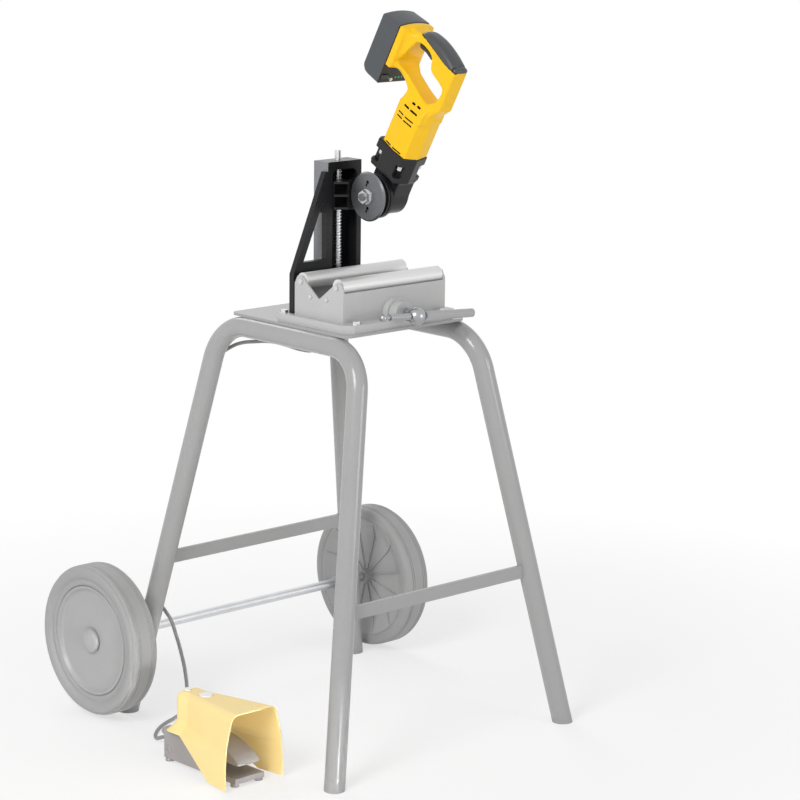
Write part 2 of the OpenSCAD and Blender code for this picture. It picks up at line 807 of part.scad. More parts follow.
module feed_grip() {
    color(leg_paint) on_lever() difference() {
        union() {
            x_rod(grip_d, hub_d / 2 + 3, bar_long - 3);
            x_rod(grip_d - 6, hub_d / 2 + 3, bar_long);
        }
        x_rod(bar_d + 2 * seat_gap, 0, hub_d / 2 + bar_insert + seat_gap);
    }
}

module bed_bolts() {
    color(bright_zinc) for (at = bed_bolt_places) translate([at[0], at[1], bed_z])
        hex_bolt(bed_bolt_d, bed_plate_t + table_t);
}

// Welded hollow upright with a window for the carriage
module post_column() {
    half = column_w / 2;
    in_half = half - column_wall;
    win_half = window_w / 2;
    color(cast_black) translate([column_x, column_y, 0]) difference() {
        union() {
            difference() {
                block([-half, 0, bed_z], [half, column_d, column_top]);
                block([-in_half, column_wall, bed_z - 1],
                    [in_half, column_d - column_wall, column_top - column_roof]);
            }
            block([-in_half - 1, column_wall - 1, bridge_z],
                [in_half + 1, column_d - column_wall + 1, bridge_z + bridge_t]);
        }
        block([-win_half, -1, window_z], [win_half, column_wall + eps, window_top - window_r]);
        block([-win_half + window_r, -1, window_z], [win_half - window_r, column_wall + eps, window_top]);
        for (side = [-1, 1]) translate([side * (win_half - window_r), 0, window_top - window_r])
            y_rod(2 * window_r, -1, column_wall + eps);
        translate([0, 0, feed_z]) y_rod(feed_d + 2 * pass_gap, -1, column_wall + 1);
        translate([0, column_d / 2, bridge_z - 1]) cylinder(d = bush_d + 2 * seat_gap, h = bridge_t + 2);
        translate([0, column_d / 2, column_top - column_roof - 1])
            cylinder(d = bush_d + 2 * seat_gap, h = column_roof + 2);
    }
}

// Side plate that braces the upright, with a lightening opening
module post_gusset() {
    x0 = column_x - column_w / 2;
    top = column_top - 17;
    foot = x0 - gusset_reach;
    shoulder = bed_z + bed_ear_h;
    color(cast_black) difference() {
        front_plate([[x0, bed_z], [x0, top], [x0 - 6, top], [foot, shoulder], [foot, bed_z]],
            column_y, column_y + gusset_t);
        front_plate([[x0 - 4, shoulder + 20], [x0 - 4, top - 76], [x0 - 20, top - 73],
            [foot + 23, shoulder + 20]], column_y - 1, column_y + gusset_t + 1);
    }
}

module spindle_bushes() {
    color(bronze) for (z = [[bridge_z, bridge_t], [column_top - column_roof, column_roof]])
        translate([column_x, spindle_y, z[0]]) difference() {
            cylinder(d = bush_d, h = z[1]);
            translate([0, 0, -1]) cylinder(d = journal_d + 2 * run_play, h = z[1] + 2);
        }
}

// Spindle with a ridged thread between its journals
module spindle() {
    low = feed_z + bevel_core;
    thread0 = bridge_z + bridge_t + 1;
    thread1 = column_top - column_roof - 1;
    ridges = floor((thread1 - thread0) / spindle_lead);
    root_d = spindle_d - 4;
    color(bright_zinc) translate([column_x, spindle_y, 0]) union() {
        translate([0, 0, low]) cylinder(d = bevel_bore - 2 * seat_gap, h = bevel_r);
        translate([0, 0, feed_z + bevel_r + bevel_hub + seat_gap])
            cylinder(d = journal_d, h = thread0 - feed_z - bevel_r - bevel_hub + 1);
        rotate_extrude() polygon(concat([[0, thread0], [root_d / 2, thread0]],
            [for (i = [0:ridges - 1]) each [
                [root_d / 2, thread0 + (i + 0.15) * spindle_lead],
                [spindle_d / 2, thread0 + (i + 0.35) * spindle_lead],
                [spindle_d / 2, thread0 + (i + 0.65) * spindle_lead],
                [root_d / 2, thread0 + (i + 0.85) * spindle_lead]]],
            [[root_d / 2, thread1], [0, thread1]]));
        translate([0, 0, thread1 - 1]) cylinder(d = journal_d, h = spindle_top - thread1 + 1);
    }
}

// Cast arm that slides in the upright and carries the gear case in front of it
module carriage_arm() {
    z1 = arm_z + arm_h;
    in_front = column_y + column_wall + pass_gap;
    in_back = column_y + column_d - column_wall - pass_gap;
    guide_x = [column_x - guide_half, column_x + guide_half];
    pocket_h = (arm_h - 3 * arm_rib) / 2;
    color(cast_black) difference() {
        union() {
            block([guide_x[0], arm_back - 1, arm_z], [guide_x[1], in_back, z1]);
            block([arm_x0, arm_front, arm_z], [arm_x1, arm_back, z1]);
            for (i = [0:2]) translate([0, 0, arm_z + i * (pocket_h + arm_rib)]) linear_extrude(arm_rib)
                polygon([[guide_x[0], arm_back], [guide_x[0], arm_back - 2], [arm_x0 + 1, arm_front + 1],
                    [arm_x0 + 2, arm_back]]);
        }
        for (i = [0, 1])
            block([guide_x[0] + arm_side, arm_front + arm_lip, arm_z + arm_rib + i * (pocket_h + arm_rib)],
                [arm_x0 + arm_pocket, arm_back + arm_pocket_depth, arm_z + (i + 1) * (pocket_h + arm_rib)]);
        translate([column_x, spindle_y, arm_z - 1]) cylinder(d = nut_od + 2 * seat_gap, h = arm_h + 2);
        for (at = arm_bolt_places) translate([at[0], 0, at[1]]) {
            y_rod(6.4, arm_front - 1, arm_back + 1);
            y_rod(12, arm_back - 8, arm_back + 1);
        }
    }
}

arm_bolt_places = [for (dx = [-6, 12], dz = [-12, 12]) [drive_x + dx, head_z - 4 + dz]];

module spindle_nut() {
    color(bronze) translate([column_x, spindle_y, arm_z]) difference() {
        cylinder(d = nut_od, h = arm_h);
        translate([0, 0, -1]) cylinder(d = spindle_d + 2 * run_play, h = arm_h + 2);
    }
}

module arm_bolts() {
    color(bright_zinc) for (at = arm_bolt_places) translate([at[0], 0, at[1]]) {
        y_rod(6, arm_front - 10, arm_back - 7);
        y_rod(10, arm_back - 8, arm_back - 2);
    }
}

// Cast case around the bevel drive, with a collar for the motor and a pad for the arm
module gear_case() {
    color(cast_black) difference() {
        union() {
            translate([0, pipe_y, head_z]) x_rod(case_d, flange_x1, case_x1);
            in_drive() {
                block([flange_x1, -33, 0], [case_x1, 33, block_u0 + 1]);
                translate([drive_x, 0, block_u0]) linear_extrude(case_h - block_u0) polygon([
                    [-block_half, -block_front + 5], [-block_half, block_back - 5], [-block_half + 8, block_back],
                    [block_half - 8, block_back], [block_half, block_back - 5], [block_half, -block_front + 5],
                    [0, -block_front - 3]]);
            }
            block([flange_x1 + 2, pipe_y + case_d / 2 - 10, head_z - pad_half - 4],
                [arm_x1, arm_front, head_z + pad_half - 4]);
        }
        translate([0, pipe_y, head_z]) {
            x_rod(2 * crown_r + 3, flange_x1 - 1, rear_bearing_x - 2);
            x_rod(rear_bearing_d + 2 * seat_gap, rear_bearing_x - 3, rear_bearing_x + bearing_w);
        }
        in_drive() translate([drive_x, 0, 0]) {
            cylinder(d = 2 * pinion_r + 6, h = front_motor_bearing - 6);
            cylinder(d = armature_shaft_d + 2 * pass_gap, h = case_h + 1);
            translate([0, 0, front_motor_bearing])
                cylinder(d = motor_bearing_d + 2 * seat_gap, h = case_h - front_motor_bearing + 1);
            for (side_x = [-1, 1], side_v = [-1, 1]) {
                translate([side_x * case_screw_x, side_v * case_screw_v, case_screw_head - 1])
                    cylinder(d = 5.4, h = case_h);
                block([side_x < 0 ? -block_half - 9 : case_screw_x - 5.5,
                    side_v < 0 ? -block_front - 9 : case_screw_v - 5.5, notch_u0],
                    [side_x < 0 ? -case_screw_x + 5.5 : block_half + 9,
                    side_v < 0 ? -case_screw_v + 5.5 : block_back + 9, case_screw_head]);
            }
        }
        for (at = arm_bolt_places) translate([at[0], 0, at[1]]) y_rod(6.2, arm_front - 11, arm_front + 1);
    }
}

// Turned flange that closes the case behind the cutter wheel and holds the front bearing
module bearing_flange() {
    color(cast_black) translate([0, pipe_y, head_z]) difference() {
        union() {
            x_rod(flange_d, flange_x0 + 5, flange_x1);
            x_rod(flange_d - 8, flange_x0, flange_x0 + 6);
        }
        x_rod(front_bearing_d + 2 * seat_gap, front_bearing_x, flange_x1 + 1);
        x_rod(output_d + 8, flange_x0 - 1, flange_x1);
    }
}

module output_shaft() {
    color(bright_zinc) translate([0, pipe_y, head_z])
        x_rod(output_d, cutter_x - nut_t - 3, rear_bearing_x + bearing_w);
}

// Crown gear with teeth on the side that faces the motor pinion
module crown_gear() {
    teeth = 36;
    color(bright_zinc) translate([0, pipe_y, head_z]) difference() {
        x_rod(2 * crown_r, crown_face - crown_t, crown_face);
        x_rod(output_d + 2 * seat_gap, crown_face - crown_t - 1, crown_face + 1);
        for (i = [0:teeth - 1]) rotate([i * 360 / teeth, 0, 0])
            block([crown_face - 2, -1.1, crown_r - 10], [crown_face + 1, 1.1, crown_r + 1]);
    }
}

// Flat cutter wheel with a bevelled edge and two pairs of pin holes
module cutter_wheel() {
    r = cutter_d / 2;
    color("#7d8083") translate([cutter_x, pipe_y, head_z]) rotate([0, 90, 0]) difference() {
        rotate_extrude() polygon([[output_d / 2 + seat_gap, 0], [r - 3, 0], [r, cutter_t / 2 - 0.4],
            [r, cutter_t / 2 + 0.4], [r - 3, cutter_t], [output_d / 2 + seat_gap, cutter_t]]);
        for (side = [-1, 1]) translate([side * 24, 0, -1]) {
            translate([-2.5, -1.5, 0]) cylinder(d = 7, h = cutter_t + 2);
            translate([3, 1.5, 0]) cylinder(d = 5, h = cutter_t + 2);
        }
    }
}

// Hexagon nut in front of the wheel and spacer ring behind it
module wheel_nut() {
    color(bright_zinc) translate([cutter_x, pipe_y, head_z]) rotate([0, 90, 0]) {
        difference() {
            union() {
                translate([0, 0, -nut_t]) cylinder(d = nut_d, h = nut_t - 2, $fn = 6);
                translate([0, 0, -2 - eps]) cylinder(d = nut_d + 3, h = 2 + eps);
            }
            translate([0, 0, -nut_t - 1]) cylinder(d = output_d + 2 * seat_gap, h = nut_t + 2);
        }
        translate([0, 0, cutter_t]) difference() {
            cylinder(d = output_d + 7, h = flange_x0 - cutter_back + 4.5);
            translate([0, 0, -1]) cylinder(d = output_d + 2 * seat_gap, h = 12);
        }
    }
}

module ring(d, bore, w) {
    difference() {
        cylinder(d = d, h = w);
        translate([0, 0, -1]) cylinder(d = bore, h = w + 2);
    }
}

module output_bearings() {
    color(bright_zinc) translate([0, pipe_y, head_z]) {
        translate([front_bearing_x, 0, 0]) rotate([0, 90, 0])
            ring(front_bearing_d, output_d + 2 * run_play, bearing_w);
        translate([rear_bearing_x, 0, 0]) rotate([0, 90, 0])
            ring(rear_bearing_d, output_d + 2 * run_play, bearing_w - seat_gap);
    }
}

module case_screws() {
    color(bright_zinc) in_drive() for (side_x = [-1, 1], side_v = [-1, 1])
        translate([drive_x + side_x * case_screw_x, side_v * case_screw_v, case_screw_head]) {
            translate([0, 0, -8]) cylinder(d = 9, h = 8);
            translate([0, 0, -eps]) cylinder(d = 5, h = case_h - case_screw_head + 22);
        }
}

// Outer form of the drive housing before it is split
module housing_form() {
    in_drive() translate([drive_x, 0, case_h]) linear_extrude(barrel_len) polygon([
        [-barrel_half, -barrel_flat], [-barrel_half - barrel_bulge, 0], [-barrel_half, barrel_flat],
        [0, barrel_ridge], [barrel_half, barrel_flat], [barrel_half + barrel_bulge, 0],
        [barrel_half, -barrel_flat], [0, -barrel_ridge]]);
    in_handle() {
        difference() {
            side_plate(handle_pts, -handle_half, handle_half);
            side_plate(soft_grip_pts, -handle_half - 1, handle_half + 1);
        }
        grip_core(seat_gap);
        difference() {
            shoe();
            side_plate(soft_grip_pts, -handle_half - 3, handle_half + 3);
        }
    }
}

// The part of the handle that lies inside the soft grip
module grip_core(gap) {
    half = handle_half - 3.5 - gap;
    intersection() {
        side_plate(soft_grip_pts, -half, half);
        translate([0, 0, -soft_grip_t - gap]) side_plate(soft_grip_pts, -half - 1, half + 1);
    }
}

// Plate that the battery slides on, with its neck to the handle
module shoe() {
    top = [for (i = [-4:4]) [i * shoe_half / 4, shoe_u1 - crown_drop * pow(i / 4, 2)]];
    translate([0, -shoe_v0, 0]) rotate([90, 0, 0]) linear_extrude(shoe_t)
        polygon(concat([[-shoe_half, shoe_u0], [shoe_half, shoe_u0]], [for (i = [8:-1:0]) top[i]]));
    hull() {
        translate([-shoe_half + 14, -shoe_v0 - shoe_t - 0.5, shoe_u0 + 5]) cube([2 * shoe_half - 28, 1, 68]);
        translate([-handle_half, 52, shoe_u0 + 14]) cube([2 * handle_half, 1, 54]);
    }
}

// Sliding rail of the battery, or the groove for it when grown
module battery_rail(grow, extra) {
    top = shoe_v0 + 7 + grow;
    block([-rail_stem - grow, -top, shoe_u0 - extra], [rail_stem + grow, -pack_v1 + 1, shoe_u0 + rail_len + grow]);
    block([-rail_head - grow, -top, shoe_u0 - extra],
        [rail_head + grow, -top + rail_t + 2 * grow, shoe_u0 + rail_len + grow]);
}

// Everything that is hollow inside the drive housing
module housing_hollows() {
    in_drive() translate([drive_x, 0, 0]) {
        translate([0, 0, case_h - 1]) cylinder(d = motor_d + 2 * seat_gap, h = rear_motor_bearing - case_h);
        translate([0, 0, rear_motor_bearing - 2])
            cylinder(d = motor_bearing_d + 2 * seat_gap, h = motor_bearing_t + 2);
        for (side_x = [-1, 1], side_v = [-1, 1])
            translate([side_x * case_screw_x, side_v * case_screw_v, case_h - 1]) cylinder(d = 5.2, h = 24);
    }
    in_handle() {
        side_plate(hand_hole_pts, -60, 60);
        side_plate(arm_pocket_pts, -handle_half + shell_wall, handle_half - shell_wall);
        block([-trigger_half - pass_gap, 9.5 - pass_gap, 95],
            [trigger_half + pass_gap, 50 + pass_gap, trigger_u1 + trigger_travel + 1]);
        block([-trigger_half, -switch_v[1], switch_u[0] - 2], [trigger_half, -switch_v[0], switch_u[1] + seat_gap]);
        battery_rail(pass_gap, 10);
        for (at = screw_bosses) translate([0, -at[0], at[1]]) {
            x_rod(shell_screw_d + 0.2, -handle_half + 4, handle_half - 6);
            x_rod(8, handle_half - 6, handle_half + 1);
        }
    }
}

module housing_half(side) {
    color(shell_yellow) difference() {
        intersection() {
            housing_form();
            in_drive() block([side < 0 ? drive_x - cut_reach : drive_x, -cut_reach, 0],
                [side < 0 ? drive_x : drive_x + cut_reach, cut_reach, cut_reach]);
        }
        housing_hollows();
    }
}

module housing_left() {
    housing_half(-1);
}

module housing_right() {
    housing_half(1);
}

// Rubber over-moulding on the handle
module soft_grip() {
    half = handle_half + grip_proud;
    color("#3a3c3e") in_handle() difference() {
        side_plate(soft_grip_pts, -half, half);
        grip_core(0);
        block([-half - 1, 53, 100], [half + 1, 80, 150]);
    }
}

module trigger() {
    color("#3a3030") in_handle() side_plate(trigger_pts, -trigger_half, trigger_half);
}

module trigger_switch() {
    half = trigger_half - 1;
    color(cast_black) in_handle() block([-half, -switch_v[1] + 1, switch_u[0]], [half, -switch_v[0] - 1, switch_u[1]]);
}

module motor_can() {
    color("#8a8d90") in_drive() translate([drive_x, 0, motor_u0])
        ring(motor_d, armature_d + 2 * pass_gap + 1, motor_len);
}

// Wound core, shaft, fan and the pinion cut on the shaft
module armature() {
    core0 = motor_u0 + 10;
    pinion_u1 = crown_r;
    color("#b87333") in_drive() translate([drive_x, 0, 0]) {
        translate([0, 0, pinion_u1 - 1]) cylinder(d = armature_shaft_d,
            h = rear_motor_bearing + motor_bearing_t - pinion_u1 + 1);
        translate([0, 0, pinion_u1 - 11]) linear_extrude(11) polygon([for (i = [0:23])
            let (r = i % 2 == 0 ? pinion_r : pinion_r - 2) [r * cos(i * 15), r * sin(i * 15)]]);
        translate([0, 0, core0]) cylinder(d = armature_d, h = motor_len - 18);
        translate([0, 0, fan_u]) cylinder(d = motor_d - 6, h = 6);
    }
}

module motor_bearings() {
    color(bright_zinc) in_drive() for (u = [front_motor_bearing + seat_gap, rear_motor_bearing])
        translate([drive_x, 0, u]) ring(motor_bearing_d, armature_shaft_d + 2 * run_play, motor_bearing_t - seat_gap);
}

// Screws that clamp the two housing halves
module housing_screws() {
    color(bright_zinc) in_handle() for (at = screw_bosses) translate([0, -at[0], at[1]]) {
        x_rod(shell_screw_d, -handle_half + 5, handle_half - 5.9);
        x_rod(7, handle_half - 6, handle_half - 3);
    }
}

// Battery case with a crowned top, and its sliding rail
module battery_case() {
    half = battery_w / 2;
    in_half = half - battery_wall;
    crown = [for (i = [-4:4]) [i * half / 4, shoe_u1 - crown_drop * pow(i / 4, 2)]];
    cells_u1 = pack_u0 + battery_wall + cells_per_row * cell_pitch + 1;
    bevel_in = pack_bevel + 0.42 * battery_wall;
    color(pack_grey) in_handle() difference() {
        union() {
            translate([0, -pack_v0, 0]) rotate([90, 0, 0]) linear_extrude(battery_t)
                polygon(concat([[-half, pack_u0 + pack_edge], [-half + pack_edge, pack_u0],
                    [half - pack_edge, pack_u0], [half, pack_u0 + pack_edge]], [for (i = [8:-1:0]) crown[i]]));
            battery_rail(0, 0);
        }
        side_plate([[pack_v0 - 1, pack_u0 - 1], [pack_v0 - 1, pack_u0 + pack_bevel + 1],
            [pack_v0 + pack_bevel + 1, pack_u0 - 1]], -half - 1, half + 1);
        side_plate([[pack_v1 - battery_wall, pack_u0 + battery_wall], [pack_v1 - battery_wall, cells_u1],
            [pack_v0 + battery_wall, cells_u1], [pack_v0 + battery_wall, pack_u0 + bevel_in],
            [pack_v0 + bevel_in, pack_u0 + battery_wall]], -in_half, in_half);
        translate([gauge_x, -pack_v1, gauge_u]) y_rod(gauge_d + 2 * pass_gap, -1, battery_wall + 1);
        block([latch_x - latch_w / 2 - pass_gap, -pack_v1 - 1, latch_u - latch_h / 2 - pass_gap],
            [latch_x + latch_w / 2 + pass_gap, -pack_v1 + battery_wall + 1, latch_u + latch_h / 2 + pass_gap]);
    }
}

module battery_cells() {
    color("#3c7a4a") in_handle() for (row = [0:cell_rows - 1], i = [0:cells_per_row - 1])
        translate([0, -pack_v1 + battery_wall + 2 + cell_d / 2 + row * cell_pitch,
            pack_u0 + battery_wall + cell_pitch * (i + 0.5) + 0.3]) x_rod(cell_d, -cell_l / 2, cell_l / 2);
}

// Button of the charge gauge
module gauge_button() {
    color("white") in_handle() translate([gauge_x, -pack_v1, gauge_u])
        y_rod(gauge_d, -1.2, battery_wall - 0.6);
}

module battery_latch() {
    color(cast_black) in_handle() block([latch_x - latch_w / 2, -pack_v1 - 2, latch_u - latch_h / 2],
        [latch_x + latch_w / 2, -pack_v1 + battery_wall - 0.6, latch_u + latch_h / 2]);
}

// Moulded base of the foot switch with feet, bearing cheeks and a carrying loop
module pedal_base() {
    floor_z = pedal_foot_h + pedal_floor_t;
    tower_y = pedal_back - pedal_tower_len;
    color("#7f7f7f") translate([pedal_x, 0, 0]) difference() {
        union() {
            block([-pedal_half, pedal_front, pedal_foot_h], [pedal_half, pedal_back, floor_z]);
            block([-pedal_half, tower_y, floor_z - 1], [pedal_half, pedal_back, pedal_tower_h]);
            for (side = [-1, 1]) block([side < 0 ? -pedal_half : pedal_half - pedal_cheek, pedal_pin_y - 14, floor_z - 1],
                [side < 0 ? -pedal_half + pedal_cheek : pedal_half, tower_y + 1, pedal_pin_z + 10]);
            for (side = [-1, 1], y = [pedal_front + 9, pedal_back - 9])
                translate([side * (pedal_half - 6), y, 0]) cylinder(d = 16, h = pedal_foot_h + 1);
            translate([-8, pedal_back, 50]) intersection() {
                rotate_extrude() translate([20, 0]) circle(d = 8);
                block([-40, -1, -10], [40, 40, 10]);
            }
        }
        translate([0, pedal_pin_y, pedal_pin_z])
            x_rod(pedal_pin_d + 2 * seat_gap, -pedal_half - 1, pedal_half + 1);
        block([-pedal_half + 6, tower_y + 10, floor_z], [pedal_half - 6, pedal_back - 6, pedal_tower_h - 8]);
    }
}

// Safety hood, open towards the operator and narrower at its back
module pedal_hood() {
    skirt_z = pedal_tower_h + seat_gap;
    color(hood_yellow) translate([pedal_x, 0, 0]) difference() {
        hood_form(0);
        hood_form(hood_t);
        rotate([90, 0, 90]) translate([0, 0, -cut_reach / 2]) linear_extrude(cut_reach) polygon([
            [hood_back + skirt_z, -skirt_z], [hood_back + skirt_z, skirt_z], [skirt_bend, skirt_z],
            [skirt_front, 0], [skirt_front, -skirt_z]]);
        for (at = hood_holes) translate([at[0], hood_back + at[1], hood_h - 20]) cylinder(d = at[2], h = 40);
    }
}

// Tapered form of the hood, or of its hollow when inset
module hood_form(inset) {
    past = inset > 0 ? 1 : 0;
    front = hood_front - past;
    low = hood_skirt - past;
    back_low = hood_back_half + hood_back_flare - inset;
    hull() {
        block([-hood_top_half + inset, front, hood_h - 12], [hood_top_half - inset, front + 1, hood_h - inset]);
        block([-hood_back_half + inset, hood_back - 2 - inset, hood_h - hood_back_drop - 12],
            [hood_back_half - inset, hood_back - inset, hood_h - hood_back_drop - inset]);
        block([-hood_low_half + inset, front, low], [hood_low_half - inset, front + 1, hood_skirt + 6]);
        block([-back_low, hood_back + 2 - inset, low], [back_low, hood_back + 4 - inset, hood_skirt + 6]);
    }
}

// Sloping treadle that turns on the pin
module foot_pedal() {
    back = pedal_back - pedal_tower_len - pass_gap;
    color("#8a8484") translate([pedal_x, 0, 0]) difference() {
        side_plate([[-pedal_front - 2, 36], [-pedal_front - 2, 42], [-pedal_front - 26, 57], [-pedal_pin_y + 8, 72],
            [-back + 2, 70], [-back + 2, 44], [-pedal_pin_y + 20, 38]], -pedal_half_in, pedal_half_in);
        translate([0, pedal_pin_y, pedal_pin_z]) x_rod(pedal_pin_d + 2 * run_play, -pedal_half, pedal_half);
    }
}

module pedal_pin() {
    color(bright_zinc) translate([pedal_x, pedal_pin_y, pedal_pin_z]) x_rod(pedal_pin_d, -pedal_half, pedal_half);
}

// Unit vector, and the tangent, point and side vector along the cable route
function unit(v) = v / norm(v);
function route_at(i) = cable_route[max(0, min(len(cable_route) - 1, i))];
function spline(a, b, c, d, t) = 0.5 * (2 * b + (c - a) * t + (2 * a - 5 * b + 4 * c - d) * t * t
    + (3 * b - a - 3 * c + d) * t * t * t);
cable_line = concat([for (i = [0:len(cable_route) - 2], s = [0:cable_steps - 1])
    spline(route_at(i - 1), route_at(i), route_at(i + 1), route_at(i + 2), s / cable_steps)],
    [cable_route[len(cable_route) - 1]]);
function tangent(i) = unit(cable_line[min(len(cable_line) - 1, i + 1)] - cable_line[max(0, i - 1)]);
function end_tangent(i) = i == 0 ? [0, 1, 0] : i == len(cable_line) - 1 ? [0, 0, 1] : tangent(i);
function side_vectors(i, last, made) = i == len(cable_line) ? made
    : let (t = end_tangent(i), n = unit(last - (last * t) * t)) side_vectors(i + 1, n, concat(made, [n]));
cable_sides_at = side_vectors(0, [1, 0, 0], []);

// Round tube swept along the cable route
module foot_cable() {
    rings = len(cable_line);
    points = [for (i = [0:rings - 1], k = [0:cable_sides - 1])
        let (n = cable_sides_at[i], b = cross(end_tangent(i), n), a = 360 * k / cable_sides)
        cable_line[i] + cable_d / 2 * (cos(a) * n + sin(a) * b)];
    walls = [for (i = [0:rings - 2], k = [0:cable_sides - 1]) let (m = (k + 1) % cable_sides) each [
        [i * cable_sides + k, (i + 1) * cable_sides + k, (i + 1) * cable_sides + m],
        [i * cable_sides + k, (i + 1) * cable_sides + m, i * cable_sides + m]]];
    caps = [for (k = [1:cable_sides - 2]) each [[0, k, k + 1],
        [(rings - 1) * cable_sides, (rings - 1) * cable_sides + k + 1, (rings - 1) * cable_sides + k]]];
    color("#8d8d8d") polyhedron(points, concat(walls, caps));
}

// Tapered strain reliefs at the two ends of the cable
module cable_glands() {
    color("#6f6f6f") {
        translate([gland_x, pedal_back, gland_z]) rotate([-90, 0, 0])
            cylinder(d1 = gland_base_d, d2 = gland_tip_d, h = cable_route[0][1] - pedal_back);
        translate([table_gland[0], table_gland[1], table_z]) rotate([180, 0, 0])
            cylinder(d1 = gland_base_d, d2 = gland_tip_d, h = gland_len);
    }
}

// Saddle clips that hold the cable on the far side of the leg
module cable_clips() {
    reach = leg_d / 2 + cable_d / 2 + 2;
    eye_d = cable_d + 2;
    saddle_w = eye_d + 2 * clip_wall;
    saddle_x0 = leg_d / 2 - clip_base;
    color("#8d8d8d") for (s = clip_s) on_leg(-1, 1) translate([0, 0, s]) rotate([0, 0, clip_turn]) difference() {
        translate([saddle_x0, -saddle_w / 2, 0])
            cube([reach + eye_d / 2 + clip_wall - saddle_x0, saddle_w, clip_l]);
        translate([0, 0, -1]) cylinder(d = leg_d + 2 * seat_gap, h = clip_l + 2);
        translate([reach, 0, -1]) cylinder(d = eye_d, h = clip_l + 2);
    }
}

stand_frame_left();
stand_frame_right();
braces();
foot_caps();
table_plate();
wheel_axle();
hub_caps();
tyre_left();
rim_left();
tyre_right();
rim_right();
bed_plate();
bed_housing();
front_roller();
rear_roller();
roller_pins();
feed_bearing();
feed_shaft();
feed_bevel();
feed_hub();
feed_bar();
feed_grip();
bed_bolts();
bed_screws();
post_column();
post_gusset();
spindle_bushes();
spindle();
spindle_bevel();
carriage_arm();
spindle_nut();
arm_bolts();
gear_case();
bearing_flange();
output_shaft();
crown_gear();
cutter_wheel();
wheel_nut();
output_bearings();
case_screws();
housing_left();
housing_right();
soft_grip();
trigger();
trigger_switch();
motor_can();
armature();
motor_bearings();
housing_screws();
battery_case();
battery_cells();
gauge_button();
battery_latch();
pedal_base();
pedal_hood();
foot_pedal();
pedal_pin();
foot_cable();
cable_glands();
cable_clips();
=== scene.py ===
"""Visible pieces, finishes, stage and camera of a cordless pipe cutter on a wheeled stand."""

import math

import bmesh
import bpy
import numpy as np
from mathutils import Matrix, Quaternion, Vector


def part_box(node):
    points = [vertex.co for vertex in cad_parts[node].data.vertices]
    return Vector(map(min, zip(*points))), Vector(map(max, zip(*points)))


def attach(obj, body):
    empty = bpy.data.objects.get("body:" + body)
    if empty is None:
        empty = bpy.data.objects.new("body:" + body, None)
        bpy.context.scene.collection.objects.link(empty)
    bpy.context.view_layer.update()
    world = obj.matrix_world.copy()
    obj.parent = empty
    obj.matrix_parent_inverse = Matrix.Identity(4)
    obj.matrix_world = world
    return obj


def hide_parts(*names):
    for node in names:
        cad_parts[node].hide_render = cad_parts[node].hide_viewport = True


bl_info = {
    "name": "Pipe cutter on a stand",
    "version": (1, 0, 0),
    "blender": (4, 5, 0),
    "location": "3D View > Sidebar > Pipe cutter",
    "description": "Builds the visible pieces of a cordless pipe cutter around its solids",
    "category": "Object",
}

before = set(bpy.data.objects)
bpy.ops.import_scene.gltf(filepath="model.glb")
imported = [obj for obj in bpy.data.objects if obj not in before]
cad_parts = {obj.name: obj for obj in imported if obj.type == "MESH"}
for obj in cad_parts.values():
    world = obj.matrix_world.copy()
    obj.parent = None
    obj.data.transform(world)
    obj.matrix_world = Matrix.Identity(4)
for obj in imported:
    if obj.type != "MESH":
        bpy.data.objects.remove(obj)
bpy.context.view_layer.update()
MM = 0.001

# Places of the machine's main axes, in millimetres
PIPE_Y = -61.0
HEAD_Z = 1004.068
DRIVE_X = 35.5
DRIVE_LEAN = math.radians(29)
BARREL_TOP = 186.0
WHEEL_X = 348.0
HUB_CAP_X = 367.5
PEDAL_X = -382.0
PEDAL_HALF = 33.0
AXLE = tuple(sum(pair) / 2 / MM for pair in zip(*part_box("wheel_axle")))

# Frames of the leaning drive unit: X along the pipe, -Y to the operator, Z up along the motor
DRIVE = Matrix.Translation((0, PIPE_Y * MM, HEAD_Z * MM)) @ Matrix.Rotation(DRIVE_LEAN, 4, "X")
HANDLE = DRIVE @ Matrix.Translation((DRIVE_X * MM, 0, BARREL_TOP * MM))

# Grids from which cast and moulded forms are taken, in millimetres
CAST_GRID = 1.0
MOULD_GRID = 1.25

# Least angles of an edge that looks sharp and of one that is rounded off
SHARP_ANGLE = math.radians(35)
BEVEL_ANGLE = math.radians(32)

# Least cosines between the way a face looks and the way that its painted light or shade is for
LIT_FLANK_FACING = 0.9
GAUGE_SHADE_FACING = 0.7

# Finishes: size of the slow clouding, range of the summed noise, spread of roughness, strength of relief
CLOUD_MM = 60.0
NOISE_LOW, NOISE_HIGH = 0.6, 1.4
ROUGHNESS_SPREAD = 0.08
LEAST_ROUGHNESS = 0.05
RELIEF_STRENGTH = 0.6

# Wheel rims: number of ribs, half their thickness, and the rounding of edges
RIM_RIBS = 12
RIB_HALF = 1.0
RIM_EDGE = 0.7 * MM

# Drive unit: half widths of handle, grip, the core under it and the battery shoe
HANDLE_HALF = 17.5
GRIP_HALF = 18.5
CORE_HALF = 10.0
SHOE_HALF = 36.5

# Soft grip: rounding, depth, gap to the housing, gap to the core, its back end and the depth of its crease
GRIP_ROUND = 15.0
GRIP_DEPTH = 5.0
GRIP_GAP = 0.3
CORE_GAP = 0.05
GRIP_BACK = 53.0
CREASE_DEPTH = 1.8

# Front and back of the shoe, foot of the motor barrel, half heights of the lower and upper vent slots
SHOE_DEPTH = (74.5, 88.5)
BARREL_FOOT = -84.0
VENT_HALF = 1.4
WIDE_VENT_HALF = 1.9

# Battery: half its width, its front and back, the drop of its arched top, and the charge lights
BATTERY_HALF = 37.5
BATTERY_DEPTH = (88.8, 135.8)
CROWN_DROP = 5.0
GAUGE_LIGHTS = (-13, 4, 12, 19)
GAUGE_HEIGHT = 11.0
LENS_SINK = 0.3

